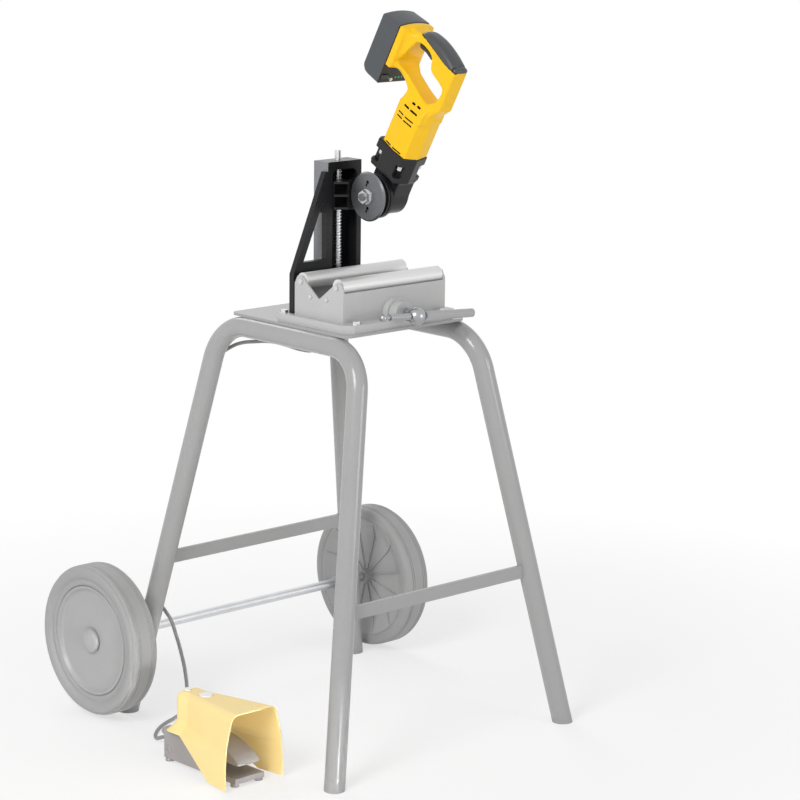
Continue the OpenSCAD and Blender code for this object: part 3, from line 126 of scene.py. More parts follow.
# Foot switch hood: sheet, height of its back, mouth, and its two holes (x, y, diameter)
HOOD_SHEET = 3.2
HOOD_TOP = 135.0
HOOD_MOUTH = -186.0
HOOD_HOLES = ((-3, -4, 15), (0, -52, 27))
PLUG_GAP = 0.3

# Floor: half its width, where it fades to white, in metres, and its least share of white
FLOOR_HALF = 12.0
FADE_START, FADE_END = 0.7, 1.7
LEAST_WHITE = 0.6

# Level of the light from all round
AMBIENT = 0.5

# Lamps: name, place, target, size in metres, power in watts, spread in degrees
WHOLE = (0, 0, 0.7)
LAMPS = (
    ("key_softbox", (-3.6, -1.2, 2.8), WHOLE, 1.8, 92, 180),
    ("fill_softbox", (1.4, -3.6, 1.1), WHOLE, 1.6, 24, 180),
    ("back_softbox", (1.0, 3.0, 3.4), WHOLE, 2.0, 28, 180),
    ("low_snoot", (-0.75, -1.55, 0.14), (PEDAL_X * MM, -0.05, 0.07), 0.3, 0.13, 12),
)

# Camera: place in metres, azimuth, elevation and roll in degrees, lens and sensor in millimetres
CAMERA_PLACE = (-3.434549, -3.807373, 1.708133)
CAMERA_ANGLES = (-43.1504, 12.0192, 0.6831)
CAMERA_LENS = 126.7145
CAMERA_SENSOR = 36.0

# Route of the foot switch cable, in millimetres
CABLE_ROUTE = (
    (-372, 55, 24), (-372, 72, 23), (-371, 90, 17), (-365, 112, 8), (-352, 134, 4), (-332, 154, 4),
    (-308, 171, 4), (-284, 183, 4), (-262, 190, 5), (-243, 194, 11), (-229, 198, 26), (-221, 204, 50),
    (-217, 214, 82), (-216.5, 226, 115), (-218, 239, 147), (-221.5, 251.5, 177), (-225.5, 264.5, 193.5),
    (-228.3, 278, 208), (-231.2, 283.4, 221.5), (-228.6, 281.9, 234), (-222.6, 277.6, 265),
    (-213.6, 271.1, 312), (-198.9, 260.6, 388), (-184.3, 250.1, 462.5), (-167.2, 237.8, 551),
    (-149.4, 225, 642.4), (-141.5, 218, 668), (-132, 205, 690), (-126, 186, 704), (-122, 160, 715),
    (-115, 130, 721), (-106, 96, 725), (-96, 62, 722), (-86, 32, 717), (-77, 9, 718), (-71, -5, 729),
    (-70, -8, 745),
)


class PipeCutterColours(bpy.types.PropertyGroup):
    """Colours as sRGB hex values."""

    shell: bpy.props.StringProperty(
        name="Shell", description="Moulded drive housing", default="#FBC612")
    grip: bpy.props.StringProperty(
        name="Soft grip", description="Rubber on the handle", default="#434548")
    pack: bpy.props.StringProperty(
        name="Battery", description="Battery case", default="#4E5155")
    casting: bpy.props.StringProperty(
        name="Castings", description="Gear case, arm and gusset", default="#1F1F21")
    # Lighter grey of the post's flanks and top: painted light on those faces
    post_painted_light: bpy.props.StringProperty(
        name="Post", description="Flanks and top of the upright column", default="#848588")
    tube: bpy.props.StringProperty(
        name="Stand tube", description="Legs, braces and table", default="#A4A4A4")
    bed: bpy.props.StringProperty(
        name="Bed", description="Roller bed sheet and plate", default="#BDBDBD")
    tyre: bpy.props.StringProperty(
        name="Tyres", description="Stand wheel tyres", default="#A2A2A2")
    rim: bpy.props.StringProperty(
        name="Rims", description="Stand wheel rims", default="#A8A8A8")
    hood: bpy.props.StringProperty(
        name="Hood", description="Foot switch hood", default="#FCE19A")
    pedal: bpy.props.StringProperty(
        name="Foot switch", description="Foot switch base", default="#9E9A99")
    steel: bpy.props.StringProperty(
        name="Bright steel", description="Shafts and fasteners", default="#D8D9DB")


class PipeCutterSizes(bpy.types.PropertyGroup):
    """Sizes that a user would change."""

    cable: bpy.props.FloatProperty(
        name="Cable", description="Cable diameter", default=7 * MM, unit="LENGTH", precision=4)
    edge: bpy.props.FloatProperty(
        name="Casting edge", description="Rounding of cast edges", default=1.5 * MM, unit="LENGTH",
        precision=4)
    fold: bpy.props.FloatProperty(
        name="Sheet edge", description="Rounding of sheet edges", default=0.8 * MM, unit="LENGTH",
        precision=4)


def colours():
    """Colours of the scene."""
    return bpy.context.scene.pipe_cutter_colours


def sizes():
    """Sizes of the scene."""
    return bpy.context.scene.pipe_cutter_sizes


def linear(hex_colour):
    """Linear RGBA of an sRGB hex value."""
    parts = [int(hex_colour[i:i + 2], 16) / 255 for i in (1, 3, 5)]
    return [p / 12.92 if p <= 0.04045 else ((p + 0.055) / 1.055) ** 2.4 for p in parts] + [1.0]


def add(tree, kind, inputs=None, **settings):
    """Adds a node, sets it up and links the sockets that are given as inputs."""
    node = tree.nodes.new(kind)
    for key, value in settings.items():
        setattr(node, key, value)
    for key, value in (inputs or {}).items():
        if isinstance(value, bpy.types.NodeSocket):
            tree.links.new(value, node.inputs[key])
        else:
            node.inputs[key].default_value = value
    return node


def surface(name, colour, roughness, grain_mm, relief_mm, mottle, metallic=0.0, stretch=(1, 1, 1),
            **sockets):
    """A finish with a grain of a real size, which varies its colour and roughness and lifts its surface."""
    found = bpy.data.materials.get(name)
    if found:
        return found
    material = bpy.data.materials.new(name)
    material.use_nodes = True
    tree = material.node_tree
    shader = tree.nodes["Principled BSDF"]
    shader.inputs["Metallic"].default_value = metallic
    for key, value in sockets.items():
        shader.inputs[key.replace("_", " ")].default_value = value
    place = add(tree, "ShaderNodeTexCoord").outputs["Object"]
    place = add(tree, "ShaderNodeMapping", {"Vector": place, "Scale": stretch}).outputs["Vector"]
    grain = add(tree, "ShaderNodeTexNoise", {"Vector": place, "Scale": 1 / (grain_mm * MM), "Detail": 3.0})
    cloud = add(tree, "ShaderNodeTexNoise", {"Vector": place, "Scale": 1 / (CLOUD_MM * MM), "Detail": 2.0})
    both = add(tree, "ShaderNodeMath", {0: grain.outputs["Fac"], 1: cloud.outputs["Fac"]}, operation="ADD")
    noise = {"Value": both.outputs[0], "From Min": NOISE_LOW, "From Max": NOISE_HIGH}
    tint = add(tree, "ShaderNodeMapRange", {**noise, "To Min": 1 - mottle, "To Max": 1 + mottle})
    toned = add(tree, "ShaderNodeVectorMath", {0: linear(colour)[:3], 3: tint.outputs[0]},
                operation="SCALE")
    tree.links.new(toned.outputs[0], shader.inputs["Base Color"])
    dull = add(tree, "ShaderNodeMapRange", {
        **noise, "To Min": max(roughness - ROUGHNESS_SPREAD, LEAST_ROUGHNESS),
        "To Max": min(roughness + ROUGHNESS_SPREAD, 1.0)})
    tree.links.new(dull.outputs[0], shader.inputs["Roughness"])
    lift = add(tree, "ShaderNodeBump", {
        "Height": grain.outputs["Fac"], "Distance": relief_mm * MM, "Strength": RELIEF_STRENGTH})
    tree.links.new(lift.outputs[0], shader.inputs["Normal"])
    return material


def shell_abs():
    # ABS, injection moulded: a fine spark-eroded grain that softens the gloss.
    # The real grit of 0.4 mm is drawn at 2 mm so that it shows.
    return surface("moulded_abs_yellow", colours().shell, 0.36, 2.0, 0.04, 0.02, Specular_IOR_Level=0.3)


def grip_tpe():
    # Thermoplastic rubber, moulded over the handle: a satin skin with a leather-like grain.
    return surface("overmoulded_tpe", colours().grip, 0.38, 3.0, 0.06, 0.08)


def pack_abs():
    # Glass-filled ABS, moulded: dark and slightly cloudy.
    return surface("moulded_abs_graphite", colours().pack, 0.42, 2.5, 0.06, 0.06, Specular_IOR_Level=0.35)


def dark_nylon():
    # Nylon, moulded: near black with a soft sheen.
    return surface("moulded_nylon_black", "#2C2A29", 0.45, 2.0, 0.06, 0.08)


def casting_paint():
    # Cast iron under black paint: a sandy skin that breaks the highlights.
    return surface("painted_cast_iron", colours().casting, 0.30, 3.0, 0.12, 0.20,
                   Specular_IOR_Level=0.25)


def alloy_paint():
    # Die-cast aluminium under black paint: smoother than the iron.
    return surface("painted_die_cast_alloy", colours().casting, 0.24, 2.5, 0.06, 0.15,
                   Specular_IOR_Level=0.3)


def lit_flank_paint():
    # Cast iron flanks and top in a lighter, mottled grey: painted light on the faces that look to the side
    # and up. The sandy relief is real.
    return surface("cast_iron_painted_light", colours().post_painted_light, 0.45, 3.0, 0.14, 0.25, Specular_IOR_Level=0.35)


def tube_enamel():
    # Stove-enamelled steel tube: glossy, with long highlights and hardly any orange peel.
    return surface("stove_enamel_grey", colours().tube, 0.17, 6.0, 0.004, 0.02)


def bed_enamel():
    # Powder-coated steel sheet: even, with a satin sheen.
    return surface("powder_coat_pale_grey", colours().bed, 0.34, 4.0, 0.02, 0.03)


def tyre_rubber():
    # Vulcanised rubber, moulded: dull, with soft highlights on its rings.
    return surface("vulcanised_rubber", colours().tyre, 0.55, 3.0, 0.08, 0.05)


def rim_pp():
    # Polypropylene, moulded: waxy, with a broad sheen.
    return surface("moulded_polypropylene", colours().rim, 0.34, 3.0, 0.04, 0.05)


def bright_steel():
    # Zinc-plated steel, turned: bright with fine tool marks round the axis.
    return surface("zinc_plated_steel", colours().steel, 0.34, 2.0, 0.03, 0.08, metallic=1.0,
                   stretch=(3, 0.6, 0.6))


def lever_steel():
    # Nickel-plated steel, turned and polished: greyer than zinc.
    return surface("nickel_plated_steel", "#A6A7A9", 0.28, 2.0, 0.02, 0.06, metallic=1.0)


def roller_steel():
    # Ground steel roller: pale, with a soft long sheen.
    return surface("ground_roller_steel", "#DEDEDE", 0.38, 2.0, 0.03, 0.05, metallic=0.4,
                   stretch=(0.3, 2, 2))


def cutter_steel():
    # Hardened tool steel, ground and blackened: dark, with a satin sheen.
    return surface("blackened_tool_steel", "#77797C", 0.32, 2.0, 0.05, 0.12, metallic=0.85)


def bronze():
    # Sintered bearing bronze, soaked in oil: brown-grey.
    return surface("sintered_bronze", "#857A68", 0.35, 2.0, 0.03, 0.08, metallic=1.0)


def hood_enamel():
    # Sheet steel under a pale yellow powder coat: even, with a dull sheen.
    return surface("powder_coat_pale_yellow", colours().hood, 0.45, 4.0, 0.08, 0.03)


def pedal_pa():
    # Glass-filled nylon, moulded: grey and matt.
    return surface("moulded_nylon_grey", colours().pedal, 0.58, 2.5, 0.10, 0.08)


def cable_pvc():
    # Flexible PVC sheath, extruded: smooth with a soft sheen.
    return surface("extruded_pvc", "#909090", 0.50, 4.0, 0.04, 0.05)


def white_abs():
    # White ABS, moulded: clean, with a soft gloss.
    return surface("moulded_abs_white", "#F2F2F0", 0.40, 1.5, 0.03, 0.03)


def gauge_lens():
    # Green acrylic, moulded: a glossy lens.
    return surface("moulded_acrylic_green", "#3FBF77", 0.25, 2.0, 0.02, 0.04)


def cell_wrap():
    # PVC film shrunk over a steel cell: smooth and slightly glossy.
    return surface("shrink_wrapped_cell", "#3F7F4F", 0.40, 4.0, 0.03, 0.05)


def motor_steel():
    # Laminated motor steel, varnished: dark grey with a dull metal sheen.
    return surface("laminated_motor_steel", "#7A7D80", 0.42, 2.0, 0.05, 0.10, metallic=0.9)


def link(obj):
    """Puts an object in the scene."""
    bpy.context.scene.collection.objects.link(obj)
    return obj


def grid_step(fine):
    return fine


def background_rays(tree):
    """Is 1 for rays that show the background: from the camera, mirrored or through glass."""
    rays = add(tree, "ShaderNodeLightPath").outputs
    seen = rays["Is Camera Ray"]
    for kind in ("Is Glossy Ray", "Is Transmission Ray"):
        seen = add(tree, "ShaderNodeMath", {0: seen, 1: rays[kind]}, operation="MAXIMUM").outputs[0]
    return seen


def piece(name, bm, material, body, replaces=(), place=None):
    """Makes an object of a bmesh in millimetres, seats it and lets it ride on its body."""
    bmesh.ops.recalc_face_normals(bm, faces=bm.faces)
    mesh = bpy.data.meshes.new(name)
    bm.to_mesh(mesh)
    bm.free()
    mesh.transform(Matrix.Scale(MM, 4))
    if place:
        mesh.transform(place)
    mesh.shade_smooth()
    mesh.set_sharp_from_angle(angle=SHARP_ANGLE)
    mesh.materials.append(material)
    obj = link(bpy.data.objects.new(name, mesh))
    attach(obj, body)
    if replaces:
        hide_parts(*replaces)
    return obj


def soften(obj, width):
    """Rounds an object's sharp edges."""
    bevel = obj.modifiers.new("rounded_edges", "BEVEL")
    bevel.width = width
    bevel.segments = 2
    bevel.limit_method = "ANGLE"
    bevel.angle_limit = BEVEL_ANGLE
    bevel.harden_normals = True


def dress(material, *nodes, edge=0.0):
    """Gives solids of the frame a finish and, where it helps, rounded edges."""
    for node in nodes:
        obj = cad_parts[node]
        obj.data.materials.clear()
        obj.data.materials.append(material)
        if edge:
            soften(obj, edge)


def lathe(bm, profile, closed=False, segments=96):
    """Turns a profile of (radius, height) points about Z."""
    rings = []
    for radius, height in profile:
        angles = [2 * math.pi * i / segments for i in range(segments if radius else 1)]
        rings.append([bm.verts.new((radius * math.cos(a), radius * math.sin(a), height)) for a in angles])
    for low, high in zip(rings, [*rings[1:], rings[0]] if closed else rings[1:]):
        for i in range(segments):
            j = (i + 1) % segments
            corners = [low[i % len(low)], low[j % len(low)], high[j % len(high)], high[i % len(high)]]
            corners = list(dict.fromkeys(corners))
            if len(corners) > 2:
                bm.faces.new(corners)


def along_x(side, *place):
    """Frame whose Z points outward along X at a place."""
    return Matrix.Translation(place) @ Matrix.Rotation(side * math.pi / 2, 4, "Y")


def turned(bm, profile, place, segments=96):
    """Adds a turned form at a place in millimetres."""
    form = bmesh.new()
    lathe(form, profile, segments=segments)
    bmesh.ops.transform(form, verts=form.verts, matrix=place)
    merge(bm, form)


class Field:
    """Signed distances in millimetres on a grid, from which a moulded or cast form is taken."""

    def __init__(self, low, high, step):
        self.low = np.array(low, float)
        self.step = step
        spans = [np.arange(lo, hi + step, step) for lo, hi in zip(low, high)]
        self.x, self.y, self.z = np.meshgrid(*spans, indexing="ij", sparse=True)

    def block(self, low, high, radius=0.0):
        """Box with rounded edges."""
        return box_distance((self.x, self.y, self.z), low, high, radius)

    def rod(self, axis, centre, diameter, low, high, radius=0.0):
        """Round rod along one axis, with rounded rims."""
        across = [at for i, at in enumerate((self.x, self.y, self.z)) if i != axis]
        along = (self.x, self.y, self.z)[axis]
        round_part = np.hypot(across[0] - centre[0], across[1] - centre[1]) - diameter / 2 + radius
        flat_part = np.abs(along - (low + high) / 2) - (high - low) / 2 + radius
        return rounded_meet(round_part, flat_part) - radius

    def plate(self, axis, outline, low, high, radius=0.0):
        """Plate across one axis, with rounded rims; the outline lies in the other two axes."""
        across = [at for i, at in enumerate((self.x, self.y, self.z)) if i != axis]
        along = (self.x, self.y, self.z)[axis]
        side = outline_distance(outline, *across) + radius
        return rounded_meet(side, np.abs(along - (low + high) / 2) - (high - low) / 2 + radius) - radius

    def skin(self, values):
        """Closed surface where the distance is zero, as a bmesh of quads."""
        count = np.array(values.shape) - 1
        total = np.zeros((*count, 3))
        crossings = np.zeros(count)
        for axis in range(3):
            for corner in np.ndindex(2, 2):
                start = np.insert(corner, axis, 0)
                a = values[tuple(slice(o, o + n) for o, n in zip(start, count))]
                end = start + np.eye(3, dtype=int)[axis]
                b = values[tuple(slice(o, o + n) for o, n in zip(end, count))]
                cut = (a < 0) != (b < 0)
                share = np.divide(a, a - b, out=np.zeros_like(a), where=cut)
                total += cut[..., None] * (start + share[..., None] * np.eye(3)[axis])
                crossings += cut
        used = crossings > 0
        index = np.full(count, -1)
        index[used] = np.arange(used.sum())
        points = (np.argwhere(used) + total[used] / crossings[used][:, None]) * self.step + self.low
        inside = values < 0
        quads = []
        for axis in range(3):
            shift, one, two = np.eye(3, dtype=int)[[axis, (axis + 1) % 3, (axis + 2) % 3]]
            size = np.array(values.shape) - shift
            near = inside[tuple(slice(0, n) for n in size)]
            far = inside[tuple(slice(o, o + n) for o, n in zip(shift, size))]
            for place, order in ((np.argwhere(near & ~far), 1), (np.argwhere(far & ~near), -1)):
                cells = np.stack([place - one - two, place - two, place, place - one][::order], axis=1)
                quads.append(index[cells[..., 0], cells[..., 1], cells[..., 2]])
        mesh = bpy.data.meshes.new("skin")
        mesh.from_pydata(points.tolist(), [], np.concatenate(quads).tolist())
        bm = bmesh.new()
        bm.from_mesh(mesh)
        bpy.data.meshes.remove(mesh)
        return bm


def box_distance(places, low, high, radius):
    """Signed distance to a box with rounded edges, along three given axes."""
    parts = [np.abs(at - (lo + hi) / 2) - (hi - lo) / 2 + radius for at, lo, hi in zip(places, low, high)]
    outside = np.sqrt(sum(np.maximum(p, 0) ** 2 for p in parts))
    inside = np.minimum(np.maximum(np.maximum(parts[0], parts[1]), parts[2]), 0)
    return outside + inside - radius


def rounded_meet(a, b):
    """Distance to the overlap of two forms, rounded outside their common edge."""
    return np.minimum(np.maximum(a, b), 0) + np.hypot(np.maximum(a, 0), np.maximum(b, 0))


def outline_distance(outline, a, b):
    """Signed distance to a closed outline."""
    nearest = np.full(np.broadcast(a, b).shape, np.inf)
    inside = np.zeros(nearest.shape, bool)
    for (a0, b0), (a1, b1) in zip(outline, [*outline[1:], outline[0]]):
        length = (a1 - a0) ** 2 + (b1 - b0) ** 2
        share = np.clip(((a - a0) * (a1 - a0) + (b - b0) * (b1 - b0)) / length, 0, 1)
        nearest = np.minimum(nearest, np.hypot(a - a0 - share * (a1 - a0), b - b0 - share * (b1 - b0)))
        if b0 != b1:
            crossed = ((b0 > b) != (b1 > b)) & (a < a0 + (b - b0) * (a1 - a0) / (b1 - b0))
            inside = inside ^ crossed
    return np.where(inside, -nearest, nearest)


def join(a, b, fillet):
    """Two forms together, with a fillet where they meet."""
    share = np.clip(0.5 + 0.5 * (b - a) / fillet, 0, 1)
    return b * (1 - share) + a * share - fillet * share * (1 - share)


def meet(a, b, rounding):
    """What two forms have in common, with its edge rounded."""
    return -join(-a, -b, rounding)


def carve(form, hollow, rounding=0.01):
    """A form less a hollow, with a rounded rim."""
    return -join(-form, hollow, rounding)


def arc(steps):
    """Angles of a half turn in even steps."""
    return [math.pi * i / steps for i in range(steps + 1)]


def cap_prism(bm, ends):
    """Closes the walls and both ends between two rows of points."""
    count = len(ends[0])
    bm.faces.new(ends[0])
    bm.faces.new(ends[1])
    for i in range(count):
        j = (i + 1) % count
        bm.faces.new((ends[0][i], ends[0][j], ends[1][j], ends[1][i]))


def prism(bm, outline, low, high):
    """Closed prism along X; the outline holds (y, z) points."""
    cap_prism(bm, [[bm.verts.new((x, y, z)) for y, z in outline] for x in (low, high)])


def merge(bm, other):
    """Adds the mesh of another bmesh."""
    mesh = bpy.data.meshes.new("merged")
    other.to_mesh(mesh)
    other.free()
    bm.from_mesh(mesh)
    bpy.data.meshes.remove(mesh)


def bake(obj):
    """Applies an object's modifiers to its mesh."""
    graph = bpy.context.evaluated_depsgraph_get()
    mesh = bpy.data.meshes.new_from_object(obj.evaluated_get(graph), depsgraph=graph)
    old = obj.data
    obj.modifiers.clear()
    obj.data = mesh
    bpy.data.meshes.remove(old)
    mesh.set_sharp_from_angle(angle=SHARP_ANGLE)


def smooth(outline, steps=4):
    """A closed curve through the points of an outline."""
    curve = []
    for i in range(len(outline)):
        a, b, c, d = (np.array(outline[(i + k) % len(outline)]) for k in (-1, 0, 1, 2))
        for t in np.arange(steps) / steps:
            bend = (2 * a - 5 * b + 4 * c - d) * t ** 2 + (3 * b - a - 3 * c + d) * t ** 3
            curve.append(tuple(b + ((c - a) * t + bend) / 2))
    return curve


def crown(half, top):
    """Arched upper edge of the battery and its shoe, from right to left."""
    return [(half * i / 4, top - CROWN_DROP * (i / 4) ** 2) for i in range(4, -5, -1)]


def side_outline(points):
    """Outline of (forward, up) points as (y, z) points."""
    return [(-v, u) for v, u in points]


class PIPECUTTER_OT_stand(bpy.types.Operator):
    """Dress the tube stand, its table and its axle"""

    bl_idname = "pipe_cutter.stand"
    bl_label = "Stand"

    def execute(self, context):
        dress(tube_enamel(), "stand_frame_left", "stand_frame_right")
        dress(tube_enamel(), "braces", "table_plate", edge=sizes().fold)
        dress(tyre_rubber(), "foot_caps", edge=sizes().edge)
        dress(bright_steel(), "wheel_axle")
        return {"FINISHED"}


class PIPECUTTER_OT_wheels(bpy.types.Operator):
    """Build the stand wheels with grooved tyres"""

    bl_idname = "pipe_cutter.wheels"
    bl_label = "Stand wheels"

    def execute(self, context):
        axle = [at * MM for at in AXLE[1:]]
        for name, side in (("left", -1), ("right", 1)):
            place = along_x(side, side * WHEEL_X * MM, *axle)
            body = name + "_wheel"
            bm = bmesh.new()
            lathe(bm, self.tyre_profile(), closed=True)
            piece("wheel_tyre_" + name, bm, tyre_rubber(), body, ("tyre_" + name,), place)
            bm = bmesh.new()
            lathe(bm, self.rim_profile(), closed=True)
            for i in range(RIM_RIBS):
                self.rib(bm, 2 * math.pi * (i + 0.5) / RIM_RIBS)
            rim = piece("wheel_rim_" + name, bm, rim_pp(), body, ("rim_" + name,), place)
            soften(rim, RIM_EDGE)
        bm = bmesh.new()
        for side in (-1, 1):
            turned(bm, self.cap_profile(), along_x(side, side * HUB_CAP_X, *AXLE[1:]))
        piece("axle_caps", bm, rim_pp(), "stand", ("hub_caps",))
        return {"FINISHED"}

    def cap_profile(self):
        """Hollow cap that sits on the end of the axle, with a domed face."""
        radius, rim, rise = 24, 2, 11
        socket = [(0, 9.2), (9.1, 9.2), (9.1, 0), (radius - 0.6, 0), (radius, 0.6), (radius, rim)]
        angles = (0.2, 0.4, 0.6, 0.8, 1.0, 1.2, 1.4)
        dome = [(radius * math.cos(a), rim + rise * math.sin(a)) for a in angles]
        return [*socket, *dome, (0, rim + rise)]

    def tyre_profile(self):
        """Outer side, grooved tread and inner side, as (radius, height) points."""
        outer = [(105.2, 1), (105.2, 21), (106.5, 23.2), (109.5, 24.6), (113, 25), (115, 24), (117, 24),
                 (119, 25.6), (122.5, 28.2), (127, 29.6), (132, 30), (136, 29.2), (138.6, 27.2),
                 (139.6, 24.8), (139.4, 23.6), (140.4, 22.6), (142.2, 21.6), (143.1, 19)]
        tread = [(143.4, 17.2), (142.4, 16.9), (142.4, 16), (143.5, 15.7), (143.5, 12.6), (142.5, 12.3),
                 (142.5, 11.4), (143.5, 11.1)]
        tread += [(radius, -height) for radius, height in reversed(tread)]
        inner = [(143.1, -20), (142.2, -23.5), (139.8, -26.6), (136, -28.9), (131, -30), (126.5, -29.8),
                 (124, -28.6), (122.3, -27.2)]
        return outer + tread + inner

    def rim_profile(self):
        """Inner dish with its hub, then the rolled lip and the flat outer face."""
        dish = [(9.1, -28), (14, -28), (15, -27), (15.6, -16), (18, -14.4), (86, -13), (92, -14),
                (117, -25.2), (119, -26.6), (122, -27)]
        ring = [(105, 0), (105, 21), (104.4, 23.2), (102.8, 24.2), (100.4, 24), (98.4, 22.4), (96.8, 19.4),
                (94.6, 17.6), (91, 17), (60, 17.4), (26, 18), (20, 18.2), (19, 19), (9.1, 19)]
        return dish + ring

    def rib(self, bm, angle):
        """Low rib from the hub to the edge of the dish."""
        outline = ((14, -12), (14, -16.8), (88, -16), (116, -26.8), (119, -26.8), (119, -20), (88, -8))
        turn = Matrix.Rotation(angle, 4, "Z")
        ends = [[bm.verts.new(turn @ Vector((r, y, h))) for r, h in outline]
                for y in (-RIB_HALF, RIB_HALF)]
        cap_prism(bm, ends)


class PIPECUTTER_OT_bed(bpy.types.Operator):
    """Dress the roller bed"""

    bl_idname = "pipe_cutter.bed"
    bl_label = "Roller bed"

    def execute(self, context):
        dress(bed_enamel(), "bed_plate", "bed_housing", edge=sizes().fold)
        dress(bed_enamel(), "feed_bearing", edge=sizes().edge)
        dress(roller_steel(), "front_roller", "rear_roller", edge=sizes().edge)
        dress(bright_steel(), "roller_pins", "bed_bolts", "bed_screws")
        return {"FINISHED"}


class PIPECUTTER_OT_feed_lever(bpy.types.Operator):
    """Dress the feed lever"""

    bl_idname = "pipe_cutter.feed_lever"
    bl_label = "Feed lever"

    def execute(self, context):
        dress(lever_steel(), "feed_hub", "feed_bar")
        dress(bright_steel(), "feed_shaft", "feed_bevel")
        dress(rim_pp(), "feed_grip", edge=sizes().edge)
        return {"FINISHED"}


class PIPECUTTER_OT_upright(bpy.types.Operator):
    """Dress the upright, its spindle and the carriage arm"""

    bl_idname = "pipe_cutter.upright"
    bl_label = "Upright"

    def execute(self, context):
        dress(casting_paint(), "post_column", edge=sizes().edge)
        # The post's flanks and top get painted light: a lighter grey than its front
        self.painted_light_flanks(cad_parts["post_column"].data, lit_flank_paint())
        dress(casting_paint(), "post_gusset", edge=sizes().fold)
        dress(alloy_paint(), "carriage_arm", edge=sizes().edge)
        dress(bright_steel(), "spindle", "spindle_bevel", "arm_bolts")
        dress(bronze(), "spindle_bushes", "spindle_nut")
        return {"FINISHED"}

    def painted_light_flanks(self, mesh, material):
        """Gives the outer side faces and the top a lighter grey: painted light on the faces that light falls
        on.
        """
        mesh.materials.append(material)
        left = min(v.co.x for v in mesh.vertices)
        right = max(v.co.x for v in mesh.vertices)
        top = max(v.co.z for v in mesh.vertices)
        for face in mesh.polygons:
            x, z = face.center.x, face.center.z
            side = min(x - left, right - x) < MM and abs(face.normal.x) > LIT_FLANK_FACING
            above = z > top - MM and face.normal.z > LIT_FLANK_FACING
            face.material_index = int(side or above)


class PIPECUTTER_OT_head(bpy.types.Operator):
    """Dress the cutting head"""

    bl_idname = "pipe_cutter.head"
    bl_label = "Cutting head"

    def execute(self, context):
        field = Field((2, -42, -48), (70, 60, 105), grid_step(CAST_GRID))
        piece("case_casting", field.skin(self.case(field)), alloy_paint(), "carriage",
              ("gear_case",), DRIVE)
        bm = bmesh.new()
        rings = ((11, 0), (36, 0), (37, 1), (37, 4.4), (38.4, 5), (40.2, 5.2), (41, 6), (41, 8.6),
                 (39.6, 9.2), (39.6, 10.6), (41, 11.2), (41, 17), (40, 18), (16.05, 18), (16.05, 5), (11, 5))
        lathe(bm, rings, closed=True)
        piece("flange_rings", bm, alloy_paint(), "carriage", ("bearing_flange",),
              along_x(1, 0, PIPE_Y * MM, HEAD_Z * MM))
        dress(cutter_steel(), "cutter_wheel", edge=sizes().fold)
        dress(cutter_steel(), "output_shaft")
        dress(bright_steel(), "wheel_nut", "case_screws", edge=sizes().fold)
        dress(bright_steel(), "crown_gear", "output_bearings")
        return {"FINISHED"}

    def case(self, field):
        """Drum round the crown gear, body, motor collar and the pad that meets the arm."""
        drum = field.rod(0, (0, 0), 70, 18, 60, 3)
        block = field.block((18, -33, 0), (60, 33, 52), 3)
        collar = ((4, -31), (4, 39), (12, 44), (59, 44), (67, 39), (67, -31), (DRIVE_X, -39))
        collar = field.plate(2, collar, 49, 102, 2)
        back = math.cos(DRIVE_LEAN) * field.y - math.sin(DRIVE_LEAN) * field.z
        rise = math.sin(DRIVE_LEAN) * field.y + math.cos(DRIVE_LEAN) * field.z
        pad = box_distance((field.x, back, rise), (20, 25, -24), (55.5, 47.5, 16), 1.5)
        form = join(join(drum, block, 4), join(collar, pad, 1), 5)
        form = carve(form, field.rod(0, (47, 49), 20, 0, 80), 2)
        for x0, x1 in ((-10, 17), (54, 81)):
            for y0, y1 in ((-60, -21.5), (21.5, 70)):
                form = carve(form, field.block((x0, y0, 60), (x1, y1, 84), 1), 1.5)
        motor = (DRIVE_X, 0)
        hollows = (
            field.rod(0, (0, 0), 59, 10, 46), field.rod(0, (0, 0), 28.1, 45, 57),
            field.rod(2, motor, 22, 0, 86), field.rod(2, motor, 9, 0, 110),
            field.rod(2, motor, 22.1, 92, 110),
        )
        for hollow in hollows:
            form = carve(form, hollow)
        return form


# Outlines of the drive unit in the handle's frame: forward to the operator, and up along the motor
HANDLE_OUTLINE = (
    (-74.5, 124.5), (-74.5, 42.5), (-46, 32), (-33, 22), (-30, 4), (-30, -12), (34, -12), (37, 6), (54, 32),
    (54, 110), (46, 118), (22, 127), (-10, 132), (-40, 130), (-56, 127.5),
)
HAND_HOLE = (
    (-64.5, 54), (-64.5, 76), (-55, 104), (-50, 111), (-36, 113), (-18, 110.5), (-7.5, 103.5), (-4, 93),
    (5, 82), (40, 72), (40, 49), (30, 36), (12, 30),
)
GRIP_OUTLINE = (
    (-54, 126), (-48, 122), (-28, 118), (-1, 112.5), (21, 108), (40, 106.5), (53, 109), (57, 115),
    (54, 120.5), (46, 123), (27, 130), (8, 135), (-12, 138), (-30, 138), (-44, 136), (-52, 131.5),
)
TRIGGER_OUTLINE = (
    (-50, 105), (-46, 101.5), (-30, 102), (-13, 98), (-9.5, 100), (-9.5, 109), (-50, 109),
)

# Vent slots in the motor barrel: height, and where each slot starts and ends
VENTS = (
    (4, -15, 0), (4, 3, 22), (15, -4, 5), (16, 9.5, 19), (-14, -23, -7), (-22, -23, -7), (-14, -3, 20),
    (-22, -3, 20), (-80, -24, -8), (-80, -3, 20),
)


